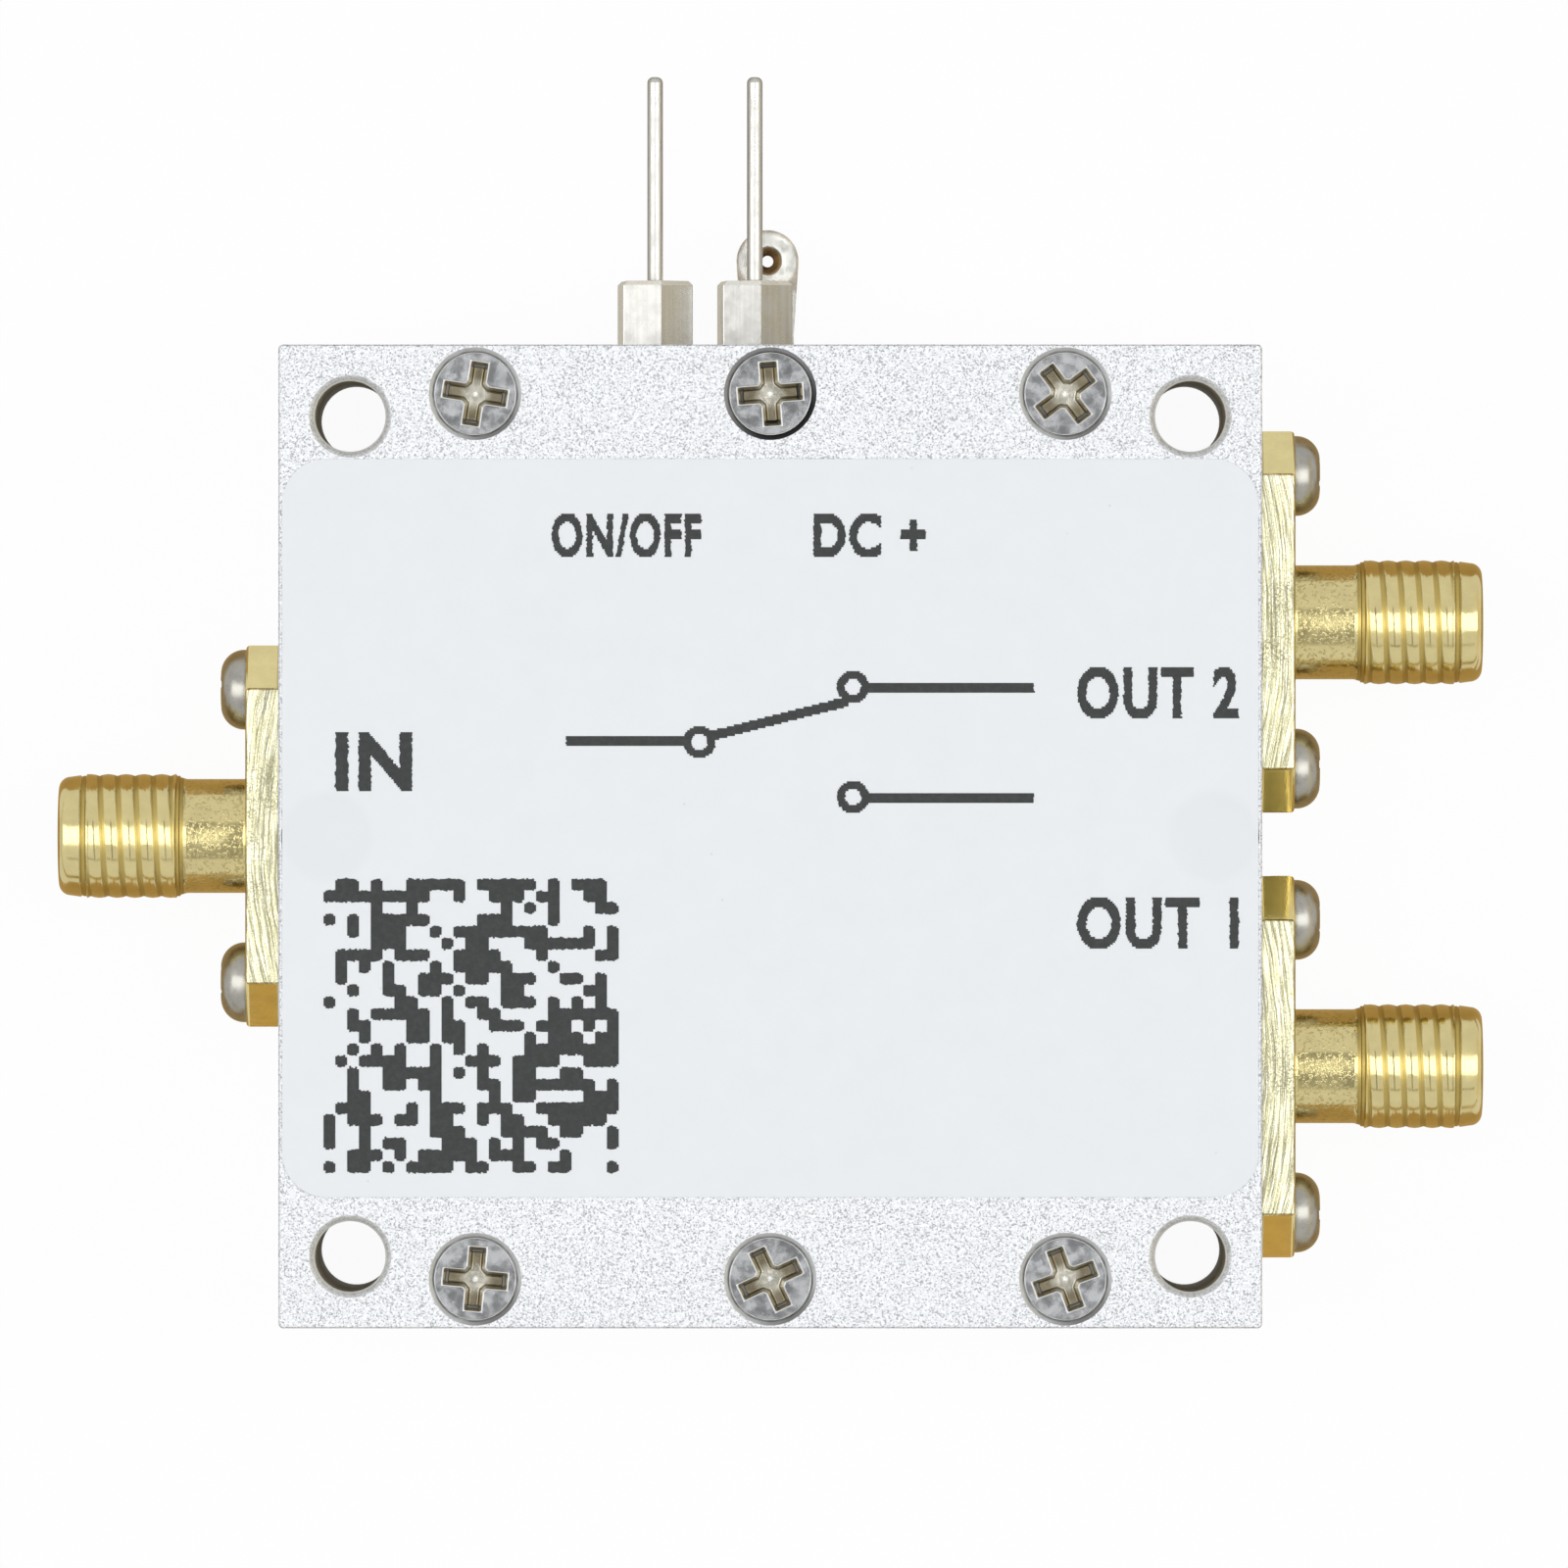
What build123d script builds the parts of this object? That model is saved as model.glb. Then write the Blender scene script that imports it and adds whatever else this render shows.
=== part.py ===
from build123d import *
import os
from math import cos, radians, tan

# A coaxial two-way switch module. Millimetres throughout.
# The origin is the centre of the housing's bottom face. +Z runs up through the lid, +X towards the
# two output jacks and +Y towards the feed-through terminals.

# ---- Box and lid -------------------------------------------------------------------------------
BOX_SIDE = 50.0                 # the housing and the lid are square
BOX_HEIGHT = 13.0               # housing without its lid
BOX_CORNER_RADIUS = 0.25        # the four upright edges
BOX_FOOT_CHAMFER = 0.2
WALL = 5.0
POCKET_DEPTH = 8.9
POCKET_RADIUS = 3.2             # left by the cutter in the pocket's corners
LID_THICKNESS = 2.0
LID_EDGE_CHAMFER = 0.08

CORNER_HOLE_INSET = 3.65        # from each side of the box
CORNER_HOLE_RADIUS = 1.8
CORNER_HOLE_CHAMFER = 0.3

# ---- Label -------------------------------------------------------------------------------------
LABEL_SIDE_MARGIN = 0.2         # to the lid's left and right edges
LABEL_END_MARGIN = 6.25         # room for the rows of screws above and below
LABEL_RADIUS = 1.9
LABEL_THICKNESS = 0.12
LABEL_SHIFT = 0.42              # the label sits a little high on the lid

# ---- Lid screws, M2.5 countersunk --------------------------------------------------------------
LID_SCREW_PITCH = 15.0
LID_SCREW_LENGTH = 5.0
LID_SCREW_RADIUS = 1.25
LID_HEAD_RADIUS = 2.1
LID_HEAD_RIM = 0.05
LID_RECESS_REACH = 1.65         # from the screw's axis to the end of an arm
LID_RECESS_WIDTH = 0.9
LID_RECESS_CORE = 1.05
LID_RECESS_DEPTH = 0.75
COUNTERSINK_RADIUS = 2.36
COUNTERSINK_ANGLE = 90.0
LID_SCREW_TURNS = (-9.0, 4.5, 37.0, -5.0, 25.0, 20.0)
HIDDEN_SCREW_TURNS = (12.0, -31.0)

# ---- Clearances --------------------------------------------------------------------------------
THREAD_GAP = 0.05               # between a screw's thread and its tapped hole
FIT_GAP = 0.02                  # between pieces that are pressed or soldered together
HEAD_GAP = 0.03                 # square to the cone, between a countersunk head and its seat
HOLE_ROOM = 0.2                 # below the tip of a screw in a blind hole
CLEARANCE_HOLE_GAP = 0.1        # round a screw that passes through
END_CHAMFER = 0.2               # on the tips of screws and shanks

# ---- Circuit board -----------------------------------------------------------------------------
BOARD_GAP = 0.4                 # to the pocket's wall
BOARD_THICKNESS = 1.6
BOARD_SCREW_INSET = 2.8         # from each edge of the board
BOARD_SCREW_LENGTH = 3.4
COPPER_THICKNESS = 0.035
SIGNAL_TRACK_WIDTH = 1.2
POWER_TRACK_WIDTH = 0.6
TRACK_EDGE = 0.3                # from a track's end to the board's edge
CONTACT_LIFT = 0.1              # between a contact and its track, filled with solder

# ---- Coaxial jacks -----------------------------------------------------------------------------
COMMON_Y = 0.0
PORT_1_Y = -11.8
PORT_2_Y = 10.95
FLANGE_LENGTH = 19.5
FLANGE_HEIGHT = 9.0
FLANGE_THICKNESS = 1.8
FLANGE_CORNER = 2.3
FLANGE_SCREW_SPACING = 15.0
NECK_RADIUS = 2.92
NECK_LENGTH = 3.4               # with its taper up to the thread
NECK_TAPER = 0.8
THREAD_RADIUS = 3.175           # 1/4-36 coaxial thread
THREAD_LENGTH = 4.8
GROOVE_LENGTH = 0.25
GROOVE_DEPTH = 0.35
TIP_LENGTH = 1.2
TIP_RADIUS = 3.04               # the plain land ahead of the thread, at its outer end
TIP_TAPER = 0.08
TIP_ROUND = 0.6
MOUTH_RADIUS = 2.3
MOUTH_DEPTH = 1.9
INSULATOR_RADIUS = 2.05
CONTACT_RADIUS = 0.635
SOCKET_RADIUS = 0.475
SOCKET_DEPTH = 2.8
SLOT_WIDTH = 0.15
SLOT_DEPTH = 2.0
CONTACT_REACH = 1.8             # past the inner face of the wall

# ---- Pan-head screws, M2 -----------------------------------------------------------------------
PAN_SCREW_RADIUS = 1.0
FLANGE_SCREW_LENGTH = 3.8
PAN_HEAD_RADIUS = 2.05
PAN_HEAD_HEIGHT = 1.35
PAN_HEAD_ROUND = 1.2
PAN_RECESS_REACH = 1.2
PAN_RECESS_WIDTH = 0.55
PAN_RECESS_CORE = 0.8
PAN_RECESS_DEPTH = 0.8
FLANGE_SCREW_TURNS = (20.0, -35.0, 8.0, 41.0, -17.0, 30.0)
BOARD_SCREW_TURNS = (0.0, 28.0, -15.0, 40.0)

# ---- Feed-through terminals --------------------------------------------------------------------
CONTROL_X = -5.9
SUPPLY_X = -0.8
FEED_DROP = 5.3                 # from the housing's top, clear of the lid screws
FEED_HEX = 3.6                  # across flats
FEED_HEX_LENGTH = 3.4
FEED_HEX_TURN = -21.7
FEED_HEX_CHAMFER = 0.2
FEED_THREAD_RADIUS = 1.5
FEED_THREAD_LENGTH = 4.6
BEAD_RADIUS = 0.95
BEAD_RECESS = 0.3
LEAD_RADIUS = 0.4               # the tinned end outside
LEAD_CORE_RADIUS = 0.24         # the bare wire in the bead and inside the box
LEAD_STEP = 0.05                # from the hexagon's end to the tinned end
LEAD_REACH = 13.85              # out of the wall's face
LEAD_INNER_REACH = 1.8          # past the inner face of the wall
LEAD_BEND = 0.8
LEAD_TIP_ROUND = 0.3

# ---- Earth stud --------------------------------------------------------------------------------
STUD_X = -0.15
STUD_DROP = 4.7                 # below the terminals
STUD_THREAD_RADIUS = 1.25
STUD_THREAD_LENGTH = 3.4
STUD_COLLAR_RADIUS = 1.35
STUD_COLLAR_LENGTH = 1.0
STUD_NECK_WIDTH = 2.6           # where the tongue leaves the collar
STUD_REACH = 6.14               # out of the wall's face
EYE_RADIUS = 1.6
EYE_HOLE_RADIUS = 0.3
EYE_SINK_RADIUS = 0.78
EYE_SINK_ANGLE = 90.0
EYE_THICKNESS = 1.0

# ---- Parts on the board ------------------------------------------------------------------------
SWITCH_X = 1.5
SWITCH_SIDE = 4.0
SWITCH_HEIGHT = 0.9
SWITCH_CORNER = 0.35
SWITCH_PORT_Y = 1.2             # the output pads, either side of the middle
LOGIC_X = -5.9
LOGIC_Y = 8.5
LOGIC_LENGTH = 2.9
LOGIC_WIDTH = 1.6
LOGIC_HEIGHT = 1.1
LOGIC_STANDOFF = 0.1
LEG_PITCH = 0.95
LEG_WIDTH = 0.4
LEG_REACH = 0.6                 # out of the chip's side
LEG_THICKNESS = 0.15
CHIP_LENGTH = 1.6               # capacitors and the resistor
CHIP_WIDTH = 0.8
CHIP_HEIGHT = 0.8
CHIP_CAP = 0.35                 # each metal end
CHIP_WAIST = 0.04               # the ceramic is this much inside the metal ends
RESISTOR_HEIGHT = 0.5
COMMON_CAPACITOR_X = -9.0
PORT_CAPACITOR_SETBACK = 2.6    # from the end of the jack's contact
POWER_PART_SETBACK = 4.7        # from the foot of the lead
TRACK_STUB = 1.1                # straight before and after an output track's slant
SOLDER_LENGTH = 1.2
SOLDER_WIDTH = 2.2
LEAD_SOLDER_RADIUS = 0.8
SOLDER_HEIGHT = 0.75
SOLDER_DRAFT = 25.0

# ---- Places that follow from the sizes above ---------------------------------------------------
HALF_BOX = BOX_SIDE / 2
LABEL_LENGTH = BOX_SIDE - 2 * LABEL_SIDE_MARGIN
LABEL_WIDTH = BOX_SIDE - 2 * LABEL_END_MARGIN
POCKET_SIDE = BOX_SIDE - 2 * WALL
INNER_FACE = HALF_BOX - WALL
FLOOR = BOX_HEIGHT - POCKET_DEPTH
LID_TOP = BOX_HEIGHT + LID_THICKNESS
CORNER_HOLE_PITCH = BOX_SIDE - 2 * CORNER_HOLE_INSET
LID_SCREW_ROW = HALF_BOX - WALL / 2
BOARD_SIDE = POCKET_SIDE - 2 * BOARD_GAP
BOARD_TOP = FLOOR + BOARD_THICKNESS
COPPER_TOP = BOARD_TOP + COPPER_THICKNESS
BOARD_SCREW_PITCH = BOARD_SIDE - 2 * BOARD_SCREW_INSET
BOARD_HALF = BOARD_SIDE / 2
JACK_HEIGHT = COPPER_TOP + CONTACT_LIFT + CONTACT_RADIUS
BARREL_END = FLANGE_THICKNESS + NECK_LENGTH + THREAD_LENGTH + GROOVE_LENGTH + TIP_LENGTH
SOCKET_FACE = BARREL_END - MOUTH_DEPTH
SINK_SLOPE = tan(radians(COUNTERSINK_ANGLE / 2))
SEAT_GAP = HEAD_GAP / cos(radians(COUNTERSINK_ANGLE / 2))
LID_HEAD_SINK = (COUNTERSINK_RADIUS - SEAT_GAP - LID_HEAD_RADIUS) / SINK_SLOPE - LID_HEAD_RIM
LID_SCREW_TIP = LID_TOP - LID_HEAD_SINK - LID_SCREW_LENGTH
TRACK_END = BOARD_HALF - TRACK_EDGE
LEAD_FOOT_Y = INNER_FACE - LEAD_INNER_REACH
FEED_HEIGHT = BOX_HEIGHT - FEED_DROP
STUD_HEIGHT = FEED_HEIGHT - STUD_DROP
EYE_Y = HALF_BOX + STUD_REACH - EYE_RADIUS
PORT_CAPACITOR_X = INNER_FACE - CONTACT_REACH - PORT_CAPACITOR_SETBACK
POWER_PART_Y = LEAD_FOOT_Y - POWER_PART_SETBACK

UP = (0, 0, 1)


def facing(x_dir, z_dir, x, y, z):
    """A plane at a point, with its normal along z_dir."""
    return Plane(origin=(x, y, z), x_dir=x_dir, z_dir=z_dir)


def shifted(plane, across=0.0, up=0.0, out=0.0):
    """The same plane moved within itself and along its normal."""
    origin = plane.origin + plane.x_dir * across + plane.y_dir * up + plane.z_dir * out
    return Plane(origin=origin, x_dir=plane.x_dir, z_dir=plane.z_dir)


def profile_plane(plane):
    """A plane through the normal of another: its x is the radius and its y runs along the normal."""
    return Plane(origin=plane.origin, x_dir=plane.x_dir, z_dir=plane.y_dir * -1)


def normal_axis(plane):
    return Axis(plane.origin, plane.z_dir)


JACKS = {
    "common": facing((0, -1, 0), (-1, 0, 0), -HALF_BOX, COMMON_Y, JACK_HEIGHT),
    "port_1": facing((0, 1, 0), (1, 0, 0), HALF_BOX, PORT_1_Y, JACK_HEIGHT),
    "port_2": facing((0, 1, 0), (1, 0, 0), HALF_BOX, PORT_2_Y, JACK_HEIGHT),
}
FEEDS = {
    "control": facing((-1, 0, 0), (0, 1, 0), CONTROL_X, HALF_BOX, FEED_HEIGHT),
    "supply": facing((-1, 0, 0), (0, 1, 0), SUPPLY_X, HALF_BOX, FEED_HEIGHT),
}
STUD_SEAT = facing((-1, 0, 0), (0, 1, 0), STUD_X, HALF_BOX, STUD_HEIGHT)
LID_SCREWS = [
    (-LID_SCREW_PITCH, LID_SCREW_ROW),
    (0, LID_SCREW_ROW),
    (LID_SCREW_PITCH, LID_SCREW_ROW),
    (-LID_SCREW_PITCH, -LID_SCREW_ROW),
    (0, -LID_SCREW_ROW),
    (LID_SCREW_PITCH, -LID_SCREW_ROW),
]
HIDDEN_SCREWS = {"left": (-LID_SCREW_ROW, 0), "right": (LID_SCREW_ROW, 0)}
ALL_LID_SCREWS = LID_SCREWS + list(HIDDEN_SCREWS.values())
SIDES = (-1, 1)
QUARTERS = [(x, y) for x in SIDES for y in SIDES]

os.makedirs("parts", exist_ok=True)


def save(piece, name):
    """Label a finished piece and write it to its own file."""
    piece.part.label = name
    export_step(piece.part, f"parts/{name}.step")


def cross_recess(plane, reach, width, core, turn):
    """The outline of a cross recess: two arms and the wider middle between them."""
    with BuildSketch(plane) as cross:
        Rectangle(2 * reach, width, rotation=turn)
        Rectangle(width, 2 * reach, rotation=turn)
        Rectangle(core * 2**0.5, core * 2**0.5, rotation=turn + 45)
    return cross.sketch


# ---- Housing -----------------------------------------------------------------------------------
with BuildPart() as housing:
    with BuildSketch():
        Rectangle(BOX_SIDE, BOX_SIDE)
        fillet(vertices(), BOX_CORNER_RADIUS)
    extrude(amount=BOX_HEIGHT)
    chamfer(housing.faces().sort_by(Axis.Z)[0].edges(), BOX_FOOT_CHAMFER)
    with BuildSketch(Plane.XY.offset(FLOOR)):
        Rectangle(POCKET_SIDE, POCKET_SIDE)
        fillet(vertices(), POCKET_RADIUS)
    extrude(amount=POCKET_DEPTH, mode=Mode.SUBTRACT)
    with GridLocations(CORNER_HOLE_PITCH, CORNER_HOLE_PITCH, 2, 2):
        Hole(CORNER_HOLE_RADIUS)
    with Locations([(x, y, BOX_HEIGHT) for x, y in ALL_LID_SCREWS]):
        Hole(LID_SCREW_RADIUS + THREAD_GAP, depth=BOX_HEIGHT - LID_SCREW_TIP + HOLE_ROOM)
    with Locations(Plane.XY.offset(FLOOR)):
        with GridLocations(BOARD_SCREW_PITCH, BOARD_SCREW_PITCH, 2, 2):
            Hole(PAN_SCREW_RADIUS + THREAD_GAP, depth=BOARD_SCREW_LENGTH - BOARD_THICKNESS + HOLE_ROOM)
    for seat in JACKS.values():
        with BuildSketch(seat):
            Circle(INSULATOR_RADIUS + FIT_GAP)
        extrude(amount=-WALL, mode=Mode.SUBTRACT)
        with BuildSketch(seat):
            with GridLocations(FLANGE_SCREW_SPACING, 0, 2, 1):
                Circle(PAN_SCREW_RADIUS + THREAD_GAP)
        extrude(amount=-(FLANGE_SCREW_LENGTH - FLANGE_THICKNESS + HOLE_ROOM), mode=Mode.SUBTRACT)
    for seat in FEEDS.values():
        with BuildSketch(seat):
            Circle(FEED_THREAD_RADIUS + THREAD_GAP)
        extrude(amount=-WALL, mode=Mode.SUBTRACT)
    with BuildSketch(STUD_SEAT):
        Circle(STUD_THREAD_RADIUS + THREAD_GAP)
    extrude(amount=-(STUD_THREAD_LENGTH + HOLE_ROOM), mode=Mode.SUBTRACT)
save(housing, "housing")


# ---- Lid and label -----------------------------------------------------------------------------
with BuildPart() as lid:
    with BuildSketch(Plane.XY.offset(BOX_HEIGHT)):
        Rectangle(BOX_SIDE, BOX_SIDE)
        fillet(vertices(), BOX_CORNER_RADIUS)
    extrude(amount=LID_THICKNESS)
    chamfer(lid.faces().sort_by(Axis.Z)[-1].edges(), LID_EDGE_CHAMFER)
    with Locations(Plane.XY.offset(LID_TOP)):
        with GridLocations(CORNER_HOLE_PITCH, CORNER_HOLE_PITCH, 2, 2):
            CounterSinkHole(
                CORNER_HOLE_RADIUS,
                CORNER_HOLE_RADIUS + CORNER_HOLE_CHAMFER,
                depth=LID_THICKNESS,
                counter_sink_angle=90,
            )
    with Locations([(x, y, LID_TOP) for x, y in ALL_LID_SCREWS]):
        CounterSinkHole(
            LID_SCREW_RADIUS + CLEARANCE_HOLE_GAP,
            COUNTERSINK_RADIUS,
            depth=LID_THICKNESS,
            counter_sink_angle=COUNTERSINK_ANGLE,
        )
save(lid, "lid")

with BuildPart() as label:
    with BuildSketch(Plane.XY.offset(LID_TOP)):
        with Locations((0, LABEL_SHIFT)):
            RectangleRounded(LABEL_LENGTH, LABEL_WIDTH, LABEL_RADIUS)
    extrude(amount=LABEL_THICKNESS)
save(label, "label")


# ---- Lid screws --------------------------------------------------------------------------------
def lid_screw(x, y, turn, name):
    """A countersunk screw whose cone lies along the seat in the lid."""
    top = Plane.XY.offset(LID_TOP - LID_HEAD_SINK).shift_origin((x, y, LID_TOP - LID_HEAD_SINK))
    cone_drop = (LID_HEAD_RADIUS - LID_SCREW_RADIUS) / SINK_SLOPE
    with BuildPart() as screw:
        with BuildSketch(profile_plane(top)):
            with BuildLine():
                Polyline(
                    (0, 0),
                    (LID_HEAD_RADIUS, 0),
                    (LID_HEAD_RADIUS, -LID_HEAD_RIM),
                    (LID_SCREW_RADIUS, -LID_HEAD_RIM - cone_drop),
                    (LID_SCREW_RADIUS, -LID_SCREW_LENGTH + END_CHAMFER),
                    (LID_SCREW_RADIUS - END_CHAMFER, -LID_SCREW_LENGTH),
                    (0, -LID_SCREW_LENGTH),
                    close=True,
                )
            make_face()
        revolve(axis=normal_axis(top))
        cross = cross_recess(top, LID_RECESS_REACH, LID_RECESS_WIDTH, LID_RECESS_CORE, turn)
        extrude(cross, amount=-LID_RECESS_DEPTH, taper=15, mode=Mode.SUBTRACT)
    save(screw, name)


for number, ((x, y), turn) in enumerate(zip(LID_SCREWS, LID_SCREW_TURNS), start=1):
    lid_screw(x, y, turn, f"lid_screw_{number}")
for (side, (x, y)), turn in zip(HIDDEN_SCREWS.items(), HIDDEN_SCREW_TURNS):
    lid_screw(x, y, turn, f"hidden_screw_{side}")


# ---- Coaxial jacks -----------------------------------------------------------------------------
def pan_screw(seat, length, turn, name):
    """A pan-head screw that stands on its seat, with the shank along the normal into it."""
    head_flat = PAN_HEAD_RADIUS - PAN_HEAD_ROUND
    head_side = PAN_HEAD_HEIGHT - PAN_HEAD_ROUND
    with BuildPart() as screw:
        with BuildSketch(profile_plane(seat)):
            with BuildLine():
                Polyline(
                    (0, PAN_HEAD_HEIGHT),
                    (0, -length),
                    (PAN_SCREW_RADIUS - END_CHAMFER, -length),
                    (PAN_SCREW_RADIUS, -length + END_CHAMFER),
                    (PAN_SCREW_RADIUS, 0),
                    (PAN_HEAD_RADIUS, 0),
                    (PAN_HEAD_RADIUS, head_side),
                )
                CenterArc((head_flat, head_side), PAN_HEAD_ROUND, 0, 90)
                Line((head_flat, PAN_HEAD_HEIGHT), (0, PAN_HEAD_HEIGHT))
            make_face()
        revolve(axis=normal_axis(seat))
        head_top = shifted(seat, out=PAN_HEAD_HEIGHT)
        cross = cross_recess(head_top, PAN_RECESS_REACH, PAN_RECESS_WIDTH, PAN_RECESS_CORE, turn)
        extrude(cross, amount=-PAN_RECESS_DEPTH, mode=Mode.SUBTRACT)
    save(screw, name)


thread_start = FLANGE_THICKNESS + NECK_LENGTH
groove_start = thread_start + THREAD_LENGTH
groove_end = groove_start + GROOVE_LENGTH
thread_root = THREAD_RADIUS - GROOVE_DEPTH
flange_turns = iter(FLANGE_SCREW_TURNS)

for name, seat in JACKS.items():
    with BuildPart() as shell:
        with BuildSketch(seat):
            Rectangle(FLANGE_LENGTH, FLANGE_HEIGHT)
            chamfer(vertices(), FLANGE_CORNER)
            with GridLocations(FLANGE_SCREW_SPACING, 0, 2, 1):
                Circle(PAN_SCREW_RADIUS + CLEARANCE_HOLE_GAP, mode=Mode.SUBTRACT)
        extrude(amount=FLANGE_THICKNESS)
        with BuildSketch(profile_plane(seat)):
            with BuildLine():
                Polyline(
                    (0, BARREL_END),
                    (0, FLANGE_THICKNESS),
                    (NECK_RADIUS, FLANGE_THICKNESS),
                    (NECK_RADIUS, thread_start - NECK_TAPER),
                    (THREAD_RADIUS, thread_start),
                    (THREAD_RADIUS, groove_start),
                    (thread_root, groove_start),
                    (thread_root, groove_end),
                    (TIP_RADIUS + TIP_TAPER, groove_end),
                    (TIP_RADIUS, BARREL_END - TIP_ROUND),
                )
                CenterArc((TIP_RADIUS - TIP_ROUND, BARREL_END - TIP_ROUND), TIP_ROUND, 0, 90)
                Line((TIP_RADIUS - TIP_ROUND, BARREL_END), (0, BARREL_END))
            make_face()
        revolve(axis=normal_axis(seat))
        with BuildSketch(seat):
            Circle(INSULATOR_RADIUS + FIT_GAP)
        extrude(amount=BARREL_END, mode=Mode.SUBTRACT)
        with BuildSketch(shifted(seat, out=SOCKET_FACE)):
            Circle(MOUTH_RADIUS)
        extrude(amount=MOUTH_DEPTH, mode=Mode.SUBTRACT)
    save(shell, f"{name}_jack_shell")

    with BuildPart() as insulator:
        with BuildSketch(shifted(seat, out=-WALL)):
            Circle(INSULATOR_RADIUS)
            Circle(CONTACT_RADIUS + FIT_GAP, mode=Mode.SUBTRACT)
        extrude(amount=WALL + SOCKET_FACE)
    save(insulator, f"{name}_jack_insulator")

    with BuildPart() as contact:
        with BuildSketch(shifted(seat, out=-WALL - CONTACT_REACH)):
            Circle(CONTACT_RADIUS)
        extrude(amount=WALL + CONTACT_REACH + SOCKET_FACE)
        with BuildSketch(shifted(seat, out=SOCKET_FACE)):
            Circle(SOCKET_RADIUS)
        extrude(amount=-SOCKET_DEPTH, mode=Mode.SUBTRACT)
        with BuildSketch(shifted(seat, out=SOCKET_FACE)):
            Rectangle(2 * CONTACT_RADIUS, SLOT_WIDTH)
            Rectangle(SLOT_WIDTH, 2 * CONTACT_RADIUS)
        extrude(amount=-SLOT_DEPTH, mode=Mode.SUBTRACT)
    save(contact, f"{name}_jack_contact")

    for number, side in enumerate(SIDES, start=1):
        screw_seat = shifted(seat, across=side * FLANGE_SCREW_SPACING / 2, out=FLANGE_THICKNESS)
        pan_screw(screw_seat, FLANGE_SCREW_LENGTH, next(flange_turns), f"{name}_flange_screw_{number}")


# ---- Feed-through terminals --------------------------------------------------------------------
for name, seat in FEEDS.items():
    with BuildPart() as shell:
        with BuildSketch(seat):
            RegularPolygon(FEED_HEX / 2, 6, major_radius=False, rotation=FEED_HEX_TURN)
        extrude(amount=FEED_HEX_LENGTH)
        chamfer(shell.faces().sort_by(Axis.Y)[-1].edges(), FEED_HEX_CHAMFER)
        with BuildSketch(seat):
            Circle(FEED_THREAD_RADIUS)
        extrude(amount=-FEED_THREAD_LENGTH)
        chamfer(shell.faces().sort_by(Axis.Y)[0].edges(), END_CHAMFER)
        with BuildSketch(shifted(seat, out=-FEED_THREAD_LENGTH)):
            Circle(BEAD_RADIUS + FIT_GAP)
        extrude(amount=FEED_THREAD_LENGTH + FEED_HEX_LENGTH, mode=Mode.SUBTRACT)
    save(shell, f"{name}_feed_shell")

    with BuildPart() as bead:
        with BuildSketch(shifted(seat, out=BEAD_RECESS - FEED_THREAD_LENGTH)):
            Circle(BEAD_RADIUS)
            Circle(LEAD_CORE_RADIUS + FIT_GAP, mode=Mode.SUBTRACT)
        extrude(amount=FEED_THREAD_LENGTH + FEED_HEX_LENGTH - 2 * BEAD_RECESS)
    save(bead, f"{name}_feed_bead")

    tinned_from = shifted(seat, out=FEED_HEX_LENGTH + LEAD_STEP)
    with BuildPart() as lead:
        with BuildLine():
            FilletPolyline(
                tinned_from.origin,
                (seat.origin.X, LEAD_FOOT_Y, seat.origin.Z),
                (seat.origin.X, LEAD_FOOT_Y, COPPER_TOP),
                radius=LEAD_BEND,
            )
        with BuildSketch(tinned_from):
            Circle(LEAD_CORE_RADIUS)
        sweep()
        with BuildSketch(tinned_from):
            Circle(LEAD_RADIUS)
        extrude(amount=LEAD_REACH - FEED_HEX_LENGTH - LEAD_STEP)
        fillet(lead.faces().sort_by(Axis.Y)[-1].edges(), LEAD_TIP_ROUND)
    save(lead, f"{name}_lead")

# ---- Earth stud --------------------------------------------------------------------------------
with BuildPart() as stud:
    with BuildSketch(STUD_SEAT):
        Circle(STUD_THREAD_RADIUS)
    extrude(amount=-STUD_THREAD_LENGTH)
    chamfer(stud.faces().sort_by(Axis.Y)[0].edges(), END_CHAMFER)
    with BuildSketch(STUD_SEAT):
        Circle(STUD_COLLAR_RADIUS)
    extrude(amount=STUD_COLLAR_LENGTH)
    with BuildSketch(Plane.XY.offset(STUD_HEIGHT - EYE_THICKNESS / 2)):
        with Locations((STUD_X, EYE_Y)):
            Circle(EYE_RADIUS)
        with BuildLine():
            Polyline(
                (STUD_X - STUD_NECK_WIDTH / 2, HALF_BOX),
                (STUD_X + STUD_NECK_WIDTH / 2, HALF_BOX),
                (STUD_X + EYE_RADIUS, EYE_Y),
                (STUD_X - EYE_RADIUS, EYE_Y),
                close=True,
            )
        make_face()
    extrude(amount=EYE_THICKNESS)
    with Locations((STUD_X, EYE_Y, STUD_HEIGHT + EYE_THICKNESS / 2)):
        CounterSinkHole(EYE_HOLE_RADIUS, EYE_SINK_RADIUS, counter_sink_angle=EYE_SINK_ANGLE)
save(stud, "earth_stud")

# ---- Circuit board -----------------------------------------------------------------------------
with BuildPart() as board:
    with BuildSketch(Plane.XY.offset(FLOOR)):
        RectangleRounded(BOARD_SIDE, BOARD_SIDE, POCKET_RADIUS)
        with GridLocations(BOARD_SCREW_PITCH, BOARD_SCREW_PITCH, 2, 2):
            Circle(PAN_SCREW_RADIUS + CLEARANCE_HOLE_GAP, mode=Mode.SUBTRACT)
    extrude(amount=BOARD_THICKNESS)
save(board, "circuit_board")

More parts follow.
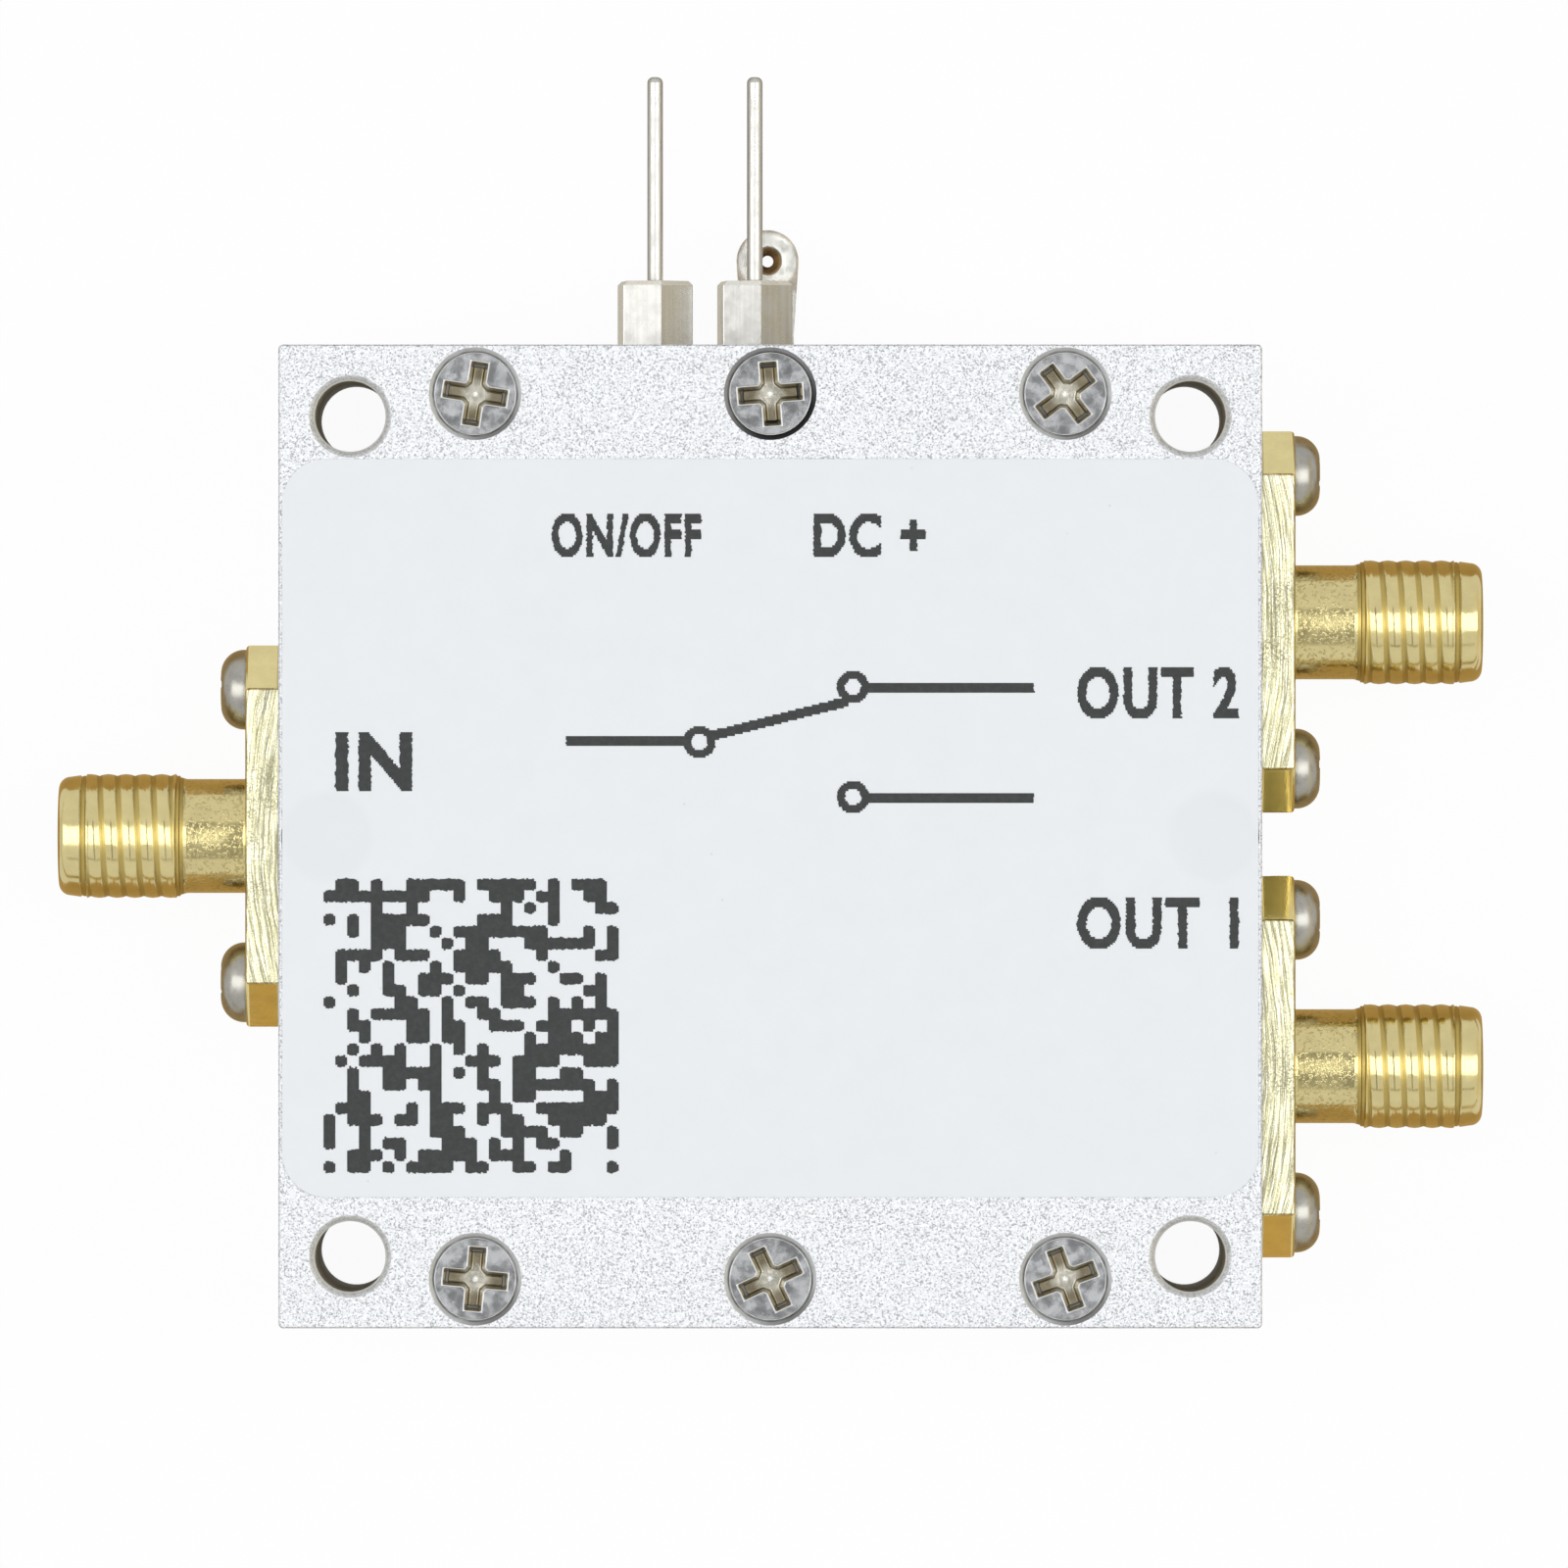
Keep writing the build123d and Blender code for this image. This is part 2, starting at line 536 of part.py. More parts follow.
for number, ((side_x, side_y), turn) in enumerate(zip(QUARTERS, BOARD_SCREW_TURNS), start=1):
    corner_x = side_x * BOARD_SCREW_PITCH / 2
    corner_y = side_y * BOARD_SCREW_PITCH / 2
    corner = facing((1, 0, 0), UP, corner_x, corner_y, BOARD_TOP)
    pan_screw(corner, BOARD_SCREW_LENGTH, turn, f"board_screw_{number}")


def track(points, width):
    """One copper track along a bent line, on the board's face."""
    with BuildSketch(Plane.XY.offset(BOARD_TOP)) as copper:
        with BuildLine():
            Polyline(*points)
        trace(line_width=width)
    return copper.sketch


switch_pad = SWITCH_SIDE / 2 - SIGNAL_TRACK_WIDTH / 2
common_gap = CHIP_LENGTH / 2 - CHIP_CAP
SIGNAL_TRACKS = [
    [(-TRACK_END, COMMON_Y), (COMMON_CAPACITOR_X - common_gap, COMMON_Y)],
    [(COMMON_CAPACITOR_X + common_gap, COMMON_Y), (SWITCH_X - switch_pad, COMMON_Y)],
]
for port_y, pad_y in ((PORT_1_Y, -SWITCH_PORT_Y), (PORT_2_Y, SWITCH_PORT_Y)):
    SIGNAL_TRACKS.append(
        [
            (SWITCH_X + switch_pad, pad_y),
            (SWITCH_X + switch_pad + TRACK_STUB, pad_y),
            (PORT_CAPACITOR_X - common_gap - TRACK_STUB, port_y),
            (PORT_CAPACITOR_X - common_gap, port_y),
        ]
    )
    SIGNAL_TRACKS.append([(PORT_CAPACITOR_X + common_gap, port_y), (TRACK_END, port_y)])
lead_pad_y = LEAD_FOOT_Y + LEAD_SOLDER_RADIUS
leg_row = LOGIC_WIDTH / 2 + LEG_REACH / 2
POWER_TRACKS = [
    [(CONTROL_X, lead_pad_y), (CONTROL_X, POWER_PART_Y + common_gap)],
    [(CONTROL_X, POWER_PART_Y - common_gap), (CONTROL_X, LOGIC_Y + leg_row)],
    [(SUPPLY_X, lead_pad_y), (SUPPLY_X, POWER_PART_Y + common_gap)],
]

with BuildPart() as tracks:
    for points in SIGNAL_TRACKS:
        extrude(track(points, SIGNAL_TRACK_WIDTH), amount=COPPER_THICKNESS)
    for points in POWER_TRACKS:
        extrude(track(points, POWER_TRACK_WIDTH), amount=COPPER_THICKNESS)
save(tracks, "copper_tracks")

# ---- Parts on the board ------------------------------------------------------------------------
with BuildPart() as switch_chip:
    with BuildSketch(Plane.XY.offset(COPPER_TOP)):
        with Locations((SWITCH_X, 0)):
            Rectangle(SWITCH_SIDE, SWITCH_SIDE)
            chamfer(vertices().sort_by(Axis.X)[0], SWITCH_CORNER)
    extrude(amount=SWITCH_HEIGHT)
save(switch_chip, "switch_chip")

with BuildPart() as logic_chip:
    with BuildSketch(Plane.XY.offset(COPPER_TOP + LOGIC_STANDOFF)):
        with Locations((LOGIC_X, LOGIC_Y)):
            Rectangle(LOGIC_LENGTH, LOGIC_WIDTH)
    extrude(amount=LOGIC_HEIGHT - LOGIC_STANDOFF)
    with BuildSketch(Plane.XY.offset(COPPER_TOP)):
        with Locations((LOGIC_X, LOGIC_Y)):
            with GridLocations(LEG_PITCH, LOGIC_WIDTH + LEG_REACH, 3, 2):
                Rectangle(LEG_WIDTH, LEG_REACH)
    extrude(amount=LEG_THICKNESS)
    with BuildSketch(Plane.XY.offset(COPPER_TOP)):
        with Locations((LOGIC_X, LOGIC_Y)):
            with GridLocations(LEG_PITCH, LOGIC_WIDTH, 3, 2):
                Rectangle(LEG_WIDTH, 2 * LEG_THICKNESS)
    extrude(amount=LOGIC_HEIGHT / 2)
save(logic_chip, "logic_chip")


def chip_part(x, y, along_y, height, name):
    """A ceramic chip part with a metal cap on each end."""
    turn = 90 if along_y else 0
    base = Plane(origin=(x, y, COPPER_TOP), x_dir=(1, 0, 0)).rotated((0, 0, turn))
    with BuildPart() as chip:
        with BuildSketch(base):
            Rectangle(CHIP_LENGTH - CHIP_CAP, CHIP_WIDTH - CHIP_WAIST)
        extrude(amount=height - CHIP_WAIST)
        with BuildSketch(base):
            with GridLocations(CHIP_LENGTH - CHIP_CAP, 0, 2, 1):
                Rectangle(CHIP_CAP, CHIP_WIDTH)
        extrude(amount=height)
    save(chip, name)


chip_part(COMMON_CAPACITOR_X, COMMON_Y, False, CHIP_HEIGHT, "common_capacitor")
chip_part(PORT_CAPACITOR_X, PORT_1_Y, False, CHIP_HEIGHT, "port_1_capacitor")
chip_part(PORT_CAPACITOR_X, PORT_2_Y, False, CHIP_HEIGHT, "port_2_capacitor")
chip_part(SUPPLY_X, POWER_PART_Y, True, CHIP_HEIGHT, "supply_capacitor")
chip_part(CONTROL_X, POWER_PART_Y, True, RESISTOR_HEIGHT, "control_resistor")

# ---- Solder joints -----------------------------------------------------------------------------
for name, seat in JACKS.items():
    pad = shifted(seat, up=COPPER_TOP - JACK_HEIGHT, out=SOLDER_LENGTH / 2 - WALL - CONTACT_REACH)
    foot = Plane(origin=pad.origin, x_dir=pad.z_dir, z_dir=UP)
    with BuildPart() as solder:
        with BuildSketch(foot):
            Rectangle(SOLDER_LENGTH, SOLDER_WIDTH)
        extrude(amount=SOLDER_HEIGHT, taper=SOLDER_DRAFT)
        with BuildSketch(shifted(seat, out=-WALL - CONTACT_REACH - SOLDER_LENGTH)):
            Circle(CONTACT_RADIUS + FIT_GAP)
        extrude(amount=WALL, mode=Mode.SUBTRACT)
    save(solder, f"{name}_solder")

for name, seat in FEEDS.items():
    with BuildPart() as solder:
        with BuildSketch(Plane.XY.offset(COPPER_TOP)):
            with Locations((seat.origin.X, LEAD_FOOT_Y)):
                Circle(LEAD_SOLDER_RADIUS)
        extrude(amount=SOLDER_HEIGHT, taper=SOLDER_DRAFT)
        with Locations((seat.origin.X, LEAD_FOOT_Y, COPPER_TOP)):
            Cylinder(
                LEAD_CORE_RADIUS + FIT_GAP,
                2 * SOLDER_HEIGHT,
                align=(Align.CENTER, Align.CENTER, Align.CENTER),
                mode=Mode.SUBTRACT,
            )
    save(solder, f"{name}_solder")
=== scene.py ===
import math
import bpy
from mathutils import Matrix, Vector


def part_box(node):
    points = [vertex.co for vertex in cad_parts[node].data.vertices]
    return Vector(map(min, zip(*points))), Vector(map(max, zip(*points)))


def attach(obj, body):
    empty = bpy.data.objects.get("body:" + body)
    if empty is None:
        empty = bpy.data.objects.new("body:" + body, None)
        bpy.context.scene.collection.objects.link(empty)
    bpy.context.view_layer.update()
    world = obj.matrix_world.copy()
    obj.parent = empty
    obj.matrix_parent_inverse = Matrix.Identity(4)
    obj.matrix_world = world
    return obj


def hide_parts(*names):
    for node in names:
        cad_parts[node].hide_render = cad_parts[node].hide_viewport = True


bl_info = {
    "name": "Coaxial two-way switch module",
    "version": (1, 0, 0),
    "blender": (4, 5, 0),
    "location": "3D View > Sidebar > Coax switch",
    "description": "Finishes, threads, label and studio for a small coaxial switch module",
    "category": "Object",
}

import bmesh
import bpy
from mathutils import Matrix, Vector, noise

# Lengths are in millimetres, except those that come from the frame or go straight into the scene:
# these are in metres.
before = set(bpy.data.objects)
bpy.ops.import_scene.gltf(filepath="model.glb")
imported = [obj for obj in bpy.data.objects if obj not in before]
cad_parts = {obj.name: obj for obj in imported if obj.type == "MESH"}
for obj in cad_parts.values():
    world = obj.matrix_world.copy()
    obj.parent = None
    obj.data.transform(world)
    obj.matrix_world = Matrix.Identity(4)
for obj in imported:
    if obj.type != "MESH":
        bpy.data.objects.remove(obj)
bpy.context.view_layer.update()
MM = 0.001
HOUSING = "housing_body"
LID = "lid_body"
JACK_NAMES = ("common", "port_1", "port_2")

# The image is 1600 pixels wide and high. The lid's centre lies at this pixel, at this scale.
IMAGE_SIDE = 1600
LID_CENTRE_PIXEL = (786.0, 853.5)
PIXELS_PER_MM = 20.08

# The lid with its corner holes, and how far a countersink reaches out from its screw's head.
LID_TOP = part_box("lid")[1].z
CORNER_HOLE = 21.35
CORNER_HOLE_RADIUS = 1.8
COUNTERSINK_MARGIN = 0.26

# How far a lid screw's cross recess reaches out at the head's face, and down.
RECESS_REACH = 1.72
RECESS_DEPTH = 0.8

# The label, whose film lies a little below its top and sags over the two hidden screws. The film's
# mesh is fine along its rim, in a band near its ends and in another across its middle.
LABEL_LOW, LABEL_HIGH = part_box("label")
FILM_THICKNESS = 0.09
FILM_BELOW = 0.024
FILM_WAVE = 0.006
FINE_STEP = 0.22
COARSE_STEP = 1.9
END_BAND = 5.0
MIDDLE_BAND = 3.1
DIP_RADIUS = 2.35
DIP_SLOPE = 0.7

# The print on the label: its depth below the label's top, and its strokes.
PRINT_BOTTOM = 0.05
PRINT_TOP = 0.004
SHORTEST_STROKE = 0.04
LETTER_SPACING = 1.12
SYMBOL_LINE = 0.5
SYMBOL_RING = 0.42
BLOCK_CUT = 0.22

# The jacks. Lengths along a barrel count from the box's wall.
FLANGE_THICKNESS = 1.8
FLANGE_CORNER = 2.3
FLANGE_EDGE = 0.2
SCREW_HOLE_RADIUS = 1.1
NECK_RADIUS = 2.92
NECK_END = 5.02
FLARE_START = 4.85
FLARE_RADIUS = 3.0
THREAD_START = 5.2
THREAD_END = 10.0
THREAD_RADIUS = 3.175
RUNOUT_WIDTH = 0.26
RUNOUT_FADE = 0.16
CREST_SHARE = 0.62
CREST_DROP = 0.035
GROOVE_END = 10.25
TIP_RADIUS = 3.04
TIP_TAPER = 0.08
TIP_ROUND = 0.6
BORE_RADIUS = 2.07
MOUTH_RADIUS = 2.3
MOUTH_DEPTH = 1.9
COLUMNS = 96
STEPS_PER_TURN = 14
FLARE_STEPS = 4
ROUND_STEPS = 8

# How far inward from the wall the middle of the curved mill marks on a flange lies.
CUTTER_REACH = 33.0

# The terminals: where the faces of a hexagon meet, counted from its middle, and the earth eye.
HEX_FLANK = -1.58
HEX_RIDGE = 0.34
EYE_RADIUS = 1.6
EYE_SINK_RADIUS = 0.78

# The signs of the four corners of a rectangle, in order.
CORNERS = ((1, 1), (-1, 1), (-1, -1), (1, -1))

# The colour of a painted highlight on metal, and of painted shade on gold down in a groove.
PAINTED_HIGHLIGHT = (0.9, 0.9, 0.87)
GROOVE_SHADE_GOLD = (0.43, 0.33, 0.105)


def middle(node):
    """The middle of a CAD node's box, in metres."""
    low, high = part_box(node)
    return (low + high) / 2


def placed(name, data):
    """A new object in the scene."""
    obj = bpy.data.objects.new(name, data)
    bpy.context.scene.collection.objects.link(obj)
    return obj


# ---- Settings -----------------------------------------------------------------------------------
class StageSettings(bpy.types.PropertyGroup):
    camera_height: bpy.props.FloatProperty(
        name="Camera height",
        description="Height of the camera above the floor",
        default=1.0,
        unit="LENGTH",
    )
    floor_side: bpy.props.FloatProperty(
        name="Floor side", description="Side of the square floor", default=6.0, unit="LENGTH"
    )
    floor_colour: bpy.props.FloatVectorProperty(
        name="Floor colour", description="Colour of the pale floor", subtype="COLOR", default=(0.9, 0.9, 0.9)
    )
    floor_glow: bpy.props.FloatProperty(
        name="Floor glow",
        description="How much of the floor's white is its own, so that its shadow stays light",
        default=0.95,
        subtype="FACTOR",
    )
    fill: bpy.props.FloatProperty(
        name="Fill light", description="Light that comes evenly from all round", default=0.27
    )
    softbox_power: bpy.props.FloatProperty(
        name="Softbox power", description="Power of each softbox, in watts", default=4.2
    )
    # The table tone is a glowing sheet of painted shade: the shaded table near the part, as metal mirrors it
    # from below.
    table_shade_colour: bpy.props.FloatVectorProperty(
        name="Table tone",
        description="Warm tone that metal mirrors from below",
        subtype="COLOR",
        default=(0.55, 0.38, 0.16),
    )


class BoxSettings(bpy.types.PropertyGroup):
    lid_colour: bpy.props.FloatVectorProperty(
        name="Lid colour", description="Blasted aluminium", subtype="COLOR", default=(0.54, 0.55, 0.57)
    )
    lid_grain: bpy.props.FloatProperty(
        name="Lid grain", description="Size of the blasted grain, in millimetres", default=0.085
    )
    box_colour: bpy.props.FloatVectorProperty(
        name="Box colour", description="Milled aluminium", subtype="COLOR", default=(0.76, 0.77, 0.78)
    )
    edge_break: bpy.props.FloatProperty(
        name="Edge break", description="Width of the broken edges, in millimetres", default=0.06
    )


class LabelSettings(bpy.types.PropertyGroup):
    film_colour: bpy.props.FloatVectorProperty(
        name="Film colour", description="Off-white label film", subtype="COLOR", default=(0.81, 0.84, 0.862)
    )
    ink_colour: bpy.props.FloatVectorProperty(
        name="Ink colour", description="Dark grey print", subtype="COLOR", default=(0.043, 0.047, 0.047)
    )
    corner_radius: bpy.props.FloatProperty(
        name="Corner radius", description="Radius of the label's corners, in millimetres", default=2.25
    )
    dip_depth: bpy.props.FloatProperty(
        name="Dip depth",
        description="How far the film sags over a hidden screw, in millimetres",
        default=0.035,
    )
    print_row: bpy.props.FloatProperty(
        name="Print row", description="Height of one printed row, in millimetres", default=0.1
    )
    print_jitter: bpy.props.FloatProperty(
        name="Print jitter", description="Raggedness of the print's ends, in millimetres", default=0.055
    )


class ScrewSettings(bpy.types.PropertyGroup):
    lid_screw_colour: bpy.props.FloatVectorProperty(
        name="Lid screw colour", description="Polished steel", subtype="COLOR", default=(0.31, 0.315, 0.325)
    )
    # The recess colour is painted shade down in a lid screw's cross recess.
    recess_shade_colour: bpy.props.FloatVectorProperty(
        name="Recess colour",
        description="Oily steel in the recess",
        subtype="COLOR",
        default=(0.2, 0.172, 0.115),
    )
    pan_screw_colour: bpy.props.FloatVectorProperty(
        name="Pan screw colour",
        description="Bright plated steel",
        subtype="COLOR",
        default=(0.355, 0.347, 0.315),
    )


class JackSettings(bpy.types.PropertyGroup):
    gold_colour: bpy.props.FloatVectorProperty(
        name="Gold colour", description="Pale gold plate", subtype="COLOR", default=(0.64, 0.55, 0.27)
    )
    milled_colour: bpy.props.FloatVectorProperty(
        name="Milled colour", description="Gold over mill marks", subtype="COLOR", default=(0.65, 0.62, 0.4)
    )
    thread_pitch: bpy.props.FloatProperty(
        name="Thread pitch", description="Pitch of the barrel's thread, in millimetres", default=0.91
    )
    thread_depth: bpy.props.FloatProperty(
        name="Thread depth", description="Depth of the thread, in millimetres", default=0.09
    )
    mill_spacing: bpy.props.FloatProperty(
        name="Mill mark spacing", description="Distance between mill marks, in millimetres", default=0.17
    )


class TerminalSettings(bpy.types.PropertyGroup):
    nickel_colour: bpy.props.FloatVectorProperty(
        name="Nickel colour", description="Bright plated brass", subtype="COLOR", default=(0.36, 0.355, 0.335)
    )
    tin_colour: bpy.props.FloatVectorProperty(
        name="Tin colour", description="Tinned wire", subtype="COLOR", default=(0.48, 0.475, 0.45)
    )
    eye_colour: bpy.props.FloatVectorProperty(
        name="Eye colour", description="Tinned earth eye", subtype="COLOR", default=(0.8, 0.79, 0.75)
    )


class BoardSettings(bpy.types.PropertyGroup):
    resist_colour: bpy.props.FloatVectorProperty(
        name="Board colour", description="Green solder resist", subtype="COLOR", default=(0.02, 0.16, 0.06)
    )


# ---- Making materials ---------------------------------------------------------------------------
class Finish:
    """A node material that is built up step by step. Its places are in millimetres."""

    def __init__(self, name, colour, roughness, metallic=0.0):
        self.material = bpy.data.materials.new(name)
        self.material.use_nodes = True
        self.tree = self.material.node_tree
        self.shader = self.tree.nodes["Principled BSDF"]
        self.set("Base Color", (*colour, 1.0))
        self.set("Roughness", roughness)
        self.set("Metallic", metallic)
        coordinates = self.node("ShaderNodeTexCoord")
        self.generated = coordinates.outputs["Generated"]
        self.place = self.vector("SCALE", coordinates.outputs["Object"], scale=1 / MM)

    def set(self, socket, value):
        self.shader.inputs[socket].default_value = value

    def feed(self, source, socket):
        self.tree.links.new(source, self.shader.inputs[socket])

    def tint(self, source):
        self.feed(source, "Base Color")

    def tone(self):
        """The colour made so far."""
        return self.shader.inputs["Base Color"].links[0].from_socket

    def node(self, kind, **settings):
        made = self.tree.nodes.new(kind)
        for name, value in settings.items():
            setattr(made, name, value)
        return made

    def plug(self, value, socket):
        """A link where the value is another node's output, and a fixed value otherwise."""
        if isinstance(value, bpy.types.NodeSocket):
            self.tree.links.new(value, socket)
        else:
            socket.default_value = value

    def vector(self, operation, first, second=None, scale=None):
        made = self.node("ShaderNodeVectorMath", operation=operation)
        self.plug(first, made.inputs[0])
        if second is not None:
            self.plug(second, made.inputs[1])
        if scale is not None:
            made.inputs["Scale"].default_value = scale
        return made.outputs["Value" if operation in ("DISTANCE", "LENGTH") else "Vector"]

    def math(self, operation, first, second=0.0, third=0.0, clamp=False):
        made = self.node("ShaderNodeMath", operation=operation, use_clamp=clamp)
        for value, socket in zip((first, second, third), made.inputs):
            self.plug(value, socket)
        return made.outputs[0]

    def plus(self, first, second):
        return self.math("ADD", first, second)

    def minus(self, first, second):
        return self.math("SUBTRACT", first, second)

    def times(self, first, second):
        return self.math("MULTIPLY", first, second)

    def apart(self, first, second):
        """How far two values are from each other."""
        return self.math("ABSOLUTE", self.minus(first, second))

    def axes(self, place=None):
        """The three parts of a place."""
        made = self.node("ShaderNodeSeparateXYZ")
        self.plug(self.place if place is None else place, made.inputs[0])
        return made.outputs

    def join(self, x=0.0, y=0.0, z=0.0):
        """A place from its three parts."""
        made = self.node("ShaderNodeCombineXYZ")
        for value, socket in zip((x, y, z), made.inputs):
            self.plug(value, socket)
        return made.outputs[0]

    def noise(self, size, detail=2.0, roughness=0.5, stretch=(1.0, 1.0, 1.0), place=None):
        """Soft noise whose lumps are about this many millimetres across."""
        factors = tuple(share / size for share in stretch)
        source = self.vector("MULTIPLY", self.place if place is None else place, factors)
        made = self.node("ShaderNodeTexNoise")
        self.plug(source, made.inputs["Vector"])
        for socket, value in (("Scale", 1.0), ("Detail", detail), ("Roughness", roughness)):
            made.inputs[socket].default_value = value
        return made.outputs[0]

    def cells(self, size):
        """How far a place is from the nearest of many scattered points."""
        made = self.node("ShaderNodeTexVoronoi")
        self.plug(self.vector("SCALE", self.place, scale=1 / size), made.inputs["Vector"])
        made.inputs["Scale"].default_value = 1.0
        return made.outputs["Distance"]

    def spread(self, value, low, high, to_low=0.0, to_high=1.0):
        """A value carried smoothly from one range to another, and held at its ends."""
        made = self.node("ShaderNodeMapRange", interpolation_type="SMOOTHSTEP")
        self.plug(value, made.inputs["Value"])
        for name, number in (("From Min", low), ("From Max", high), ("To Min", to_low), ("To Max", to_high)):
            self.plug(number, made.inputs[name])
        return made.outputs["Result"]

    def soft(self, value, to_low=0.0, to_high=1.0):
        """Noise carried to a range, with its rare extremes cut off."""
        return self.spread(value, 0.3, 0.7, to_low, to_high)

    def blend(self, share, first, second):
        """One colour where the share is 0 and the other where it is 1."""
        made = self.node("ShaderNodeMix", data_type="RGBA")
        self.plug(share, made.inputs["Factor"])
        for value, socket in ((first, made.inputs[6]), (second, made.inputs[7])):
            self.plug(value if isinstance(value, bpy.types.NodeSocket) else (*value[:3], 1.0), socket)
        return made.outputs[2]

    def glow(self, colour):
        """Light of this colour, instead of the shader."""
        made = self.node("ShaderNodeEmission")
        self.plug(colour, made.inputs["Color"])
        return made.outputs[0]

    def show(self, source):
        self.tree.links.new(source, self.tree.nodes["Material Output"].inputs["Surface"])

    def relief(self, height, depth, strength, below=None):
        """A bump of this many millimetres, on top of another where one is given."""
        made = self.node("ShaderNodeBump")
        made.inputs["Strength"].default_value = strength
        made.inputs["Distance"].default_value = depth * MM
        self.plug(height, made.inputs["Height"])
        if below is not None:
            self.plug(below, made.inputs["Normal"])
        return made.outputs["Normal"]

    def bump(self, *relief):
        """Give the surface this relief."""
        self.feed(self.relief(*relief), "Normal")


def paint(obj, finish):
    """Put one material on the whole of an object."""
    obj.data.materials.clear()
    obj.data.materials.append(finish.material)


def paint_nodes(names, finish):
    for name in names:
        paint(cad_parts[name], finish)


def soften(node, width, angle=35.0, segments=2, clamp=True):
    """Break the sharp edges of a CAD node with a small bevel, in millimetres."""
    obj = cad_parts[node]
    weld = obj.modifiers.new("join corners", "WELD")
    weld.merge_threshold = 0.001 * MM
    bevel = obj.modifiers.new("break edges", "BEVEL")
    bevel.width = width * MM
    bevel.segments = segments
    bevel.limit_method = "ANGLE"
    bevel.angle_limit = math.radians(angle)
    bevel.use_clamp_overlap = clamp
    bevel.harden_normals = True


def shaded(colour, share):
    """A colour made darker or lighter, and no lighter than white."""
    return tuple(min(1.0, part * share) for part in colour)


# ---- Finishes -----------------------------------------------------------------------------------
def blasted_finish(name, colour, grain):
    """Bead-blasted aluminium: bright, with fine grey pits and small glints that are painted highlights."""
    made = Finish(name, colour, 0.5, 0.7)
    coarse = made.noise(grain * 1.9)
    fine = made.noise(grain, detail=1.0)
    tone = made.blend(made.spread(fine, 0.33, 0.54), shaded(colour, 0.5), shaded(colour, 1.16))
    # Pale lumps painted into the colour: painted glints.
    made.tint(made.blend(made.spread(coarse, 0.52, 0.68, 0.0, 0.5), tone, (0.86, 0.87, 0.9)))
    made.feed(made.spread(fine, 0.35, 0.65, 0.36, 0.56), "Roughness")
    made.bump(fine, 0.03, 0.8, made.relief(coarse, 0.03, 0.6))
    return made


def milled_finish(name, colour):
    """Milled aluminium with fine level tool marks and a few rubs."""
    made = Finish(name, colour, 0.34, 0.75)
    lines = made.noise(0.6, detail=4.0, roughness=0.65, stretch=(0.04, 0.04, 3.4))
    made.tint(made.blend(made.soft(lines), shaded(colour, 0.88), colour))
    made.feed(made.soft(made.noise(7.0, detail=4.0), 0.28, 0.46), "Roughness")
    made.bump(lines, 0.006, 0.7)
    return made


def film_finish(name, colour, dips):
    """Satin label film that greys a little, as painted shade, where it sags over the screws that it hides."""
    made = Finish(name, colour, 0.38)
    tone = made.blend(made.soft(made.noise(1.6, detail=4.0)), shaded(colour, 0.988), colour)
    # Painted shade over each hidden screw, where the film sags.
    for dip in dips:
        away = made.vector("DISTANCE", made.place, tuple(dip / MM))
        share = made.spread(away, DIP_RADIUS * 0.82, DIP_RADIUS * 1.12, 0.5, 0.0)
        tone = made.blend(share, tone, shaded(colour, 0.93))
    specks = made.spread(made.cells(3.1), 0.015, 0.03, 0.45, 0.0)
    made.tint(made.blend(specks, tone, shaded(colour, 0.75)))
    made.bump(made.noise(0.35, detail=3.0), 0.004, 0.35)
    return made


def ink_finish(name, colour):
    """Thin dark print with paler spots, rubbed thin by wear."""
    made = Finish(name, colour, 0.6)
    made.set("Specular IOR Level", 0.25)
    brightened = made.spread(made.noise(0.3, detail=3.0, roughness=0.7), 0.34, 0.75)
    made.tint(made.blend(brightened, shaded(colour, 0.88), shaded(colour, 1.2)))
    return made


def around_screw(made, spacing, row):
    """Places counted from the axis of the nearest lid screw: (x, y, distance)."""
    parts = made.axes()
    local_x = made.math("WRAP", parts["X"], spacing / 2, -spacing / 2)
    local_y = made.minus(parts["Y"], made.times(made.math("SIGN", parts["Y"]), row))
    return local_x, local_y, made.vector("LENGTH", made.join(local_x, local_y))


def polished_finish(name, colour, roughness, contrast=0.1):
    """Bright screw steel, blotched by handling."""
    made = Finish(name, colour, roughness, 1.0)
    blotches = made.noise(0.7, detail=4.0, roughness=0.6)
    scratches = made.noise(0.3, detail=3.0, stretch=(1.0, 0.2, 1.0))
    share = made.spread(blotches, 0.36, 0.64)
    made.tint(made.blend(share, shaded(colour, 1.0 - contrast), shaded(colour, 1.0 + contrast * 0.6)))
    made.feed(made.soft(blotches, roughness * 0.75, roughness * 1.2), "Roughness")
    made.bump(scratches, 0.003, 0.4)
    return made


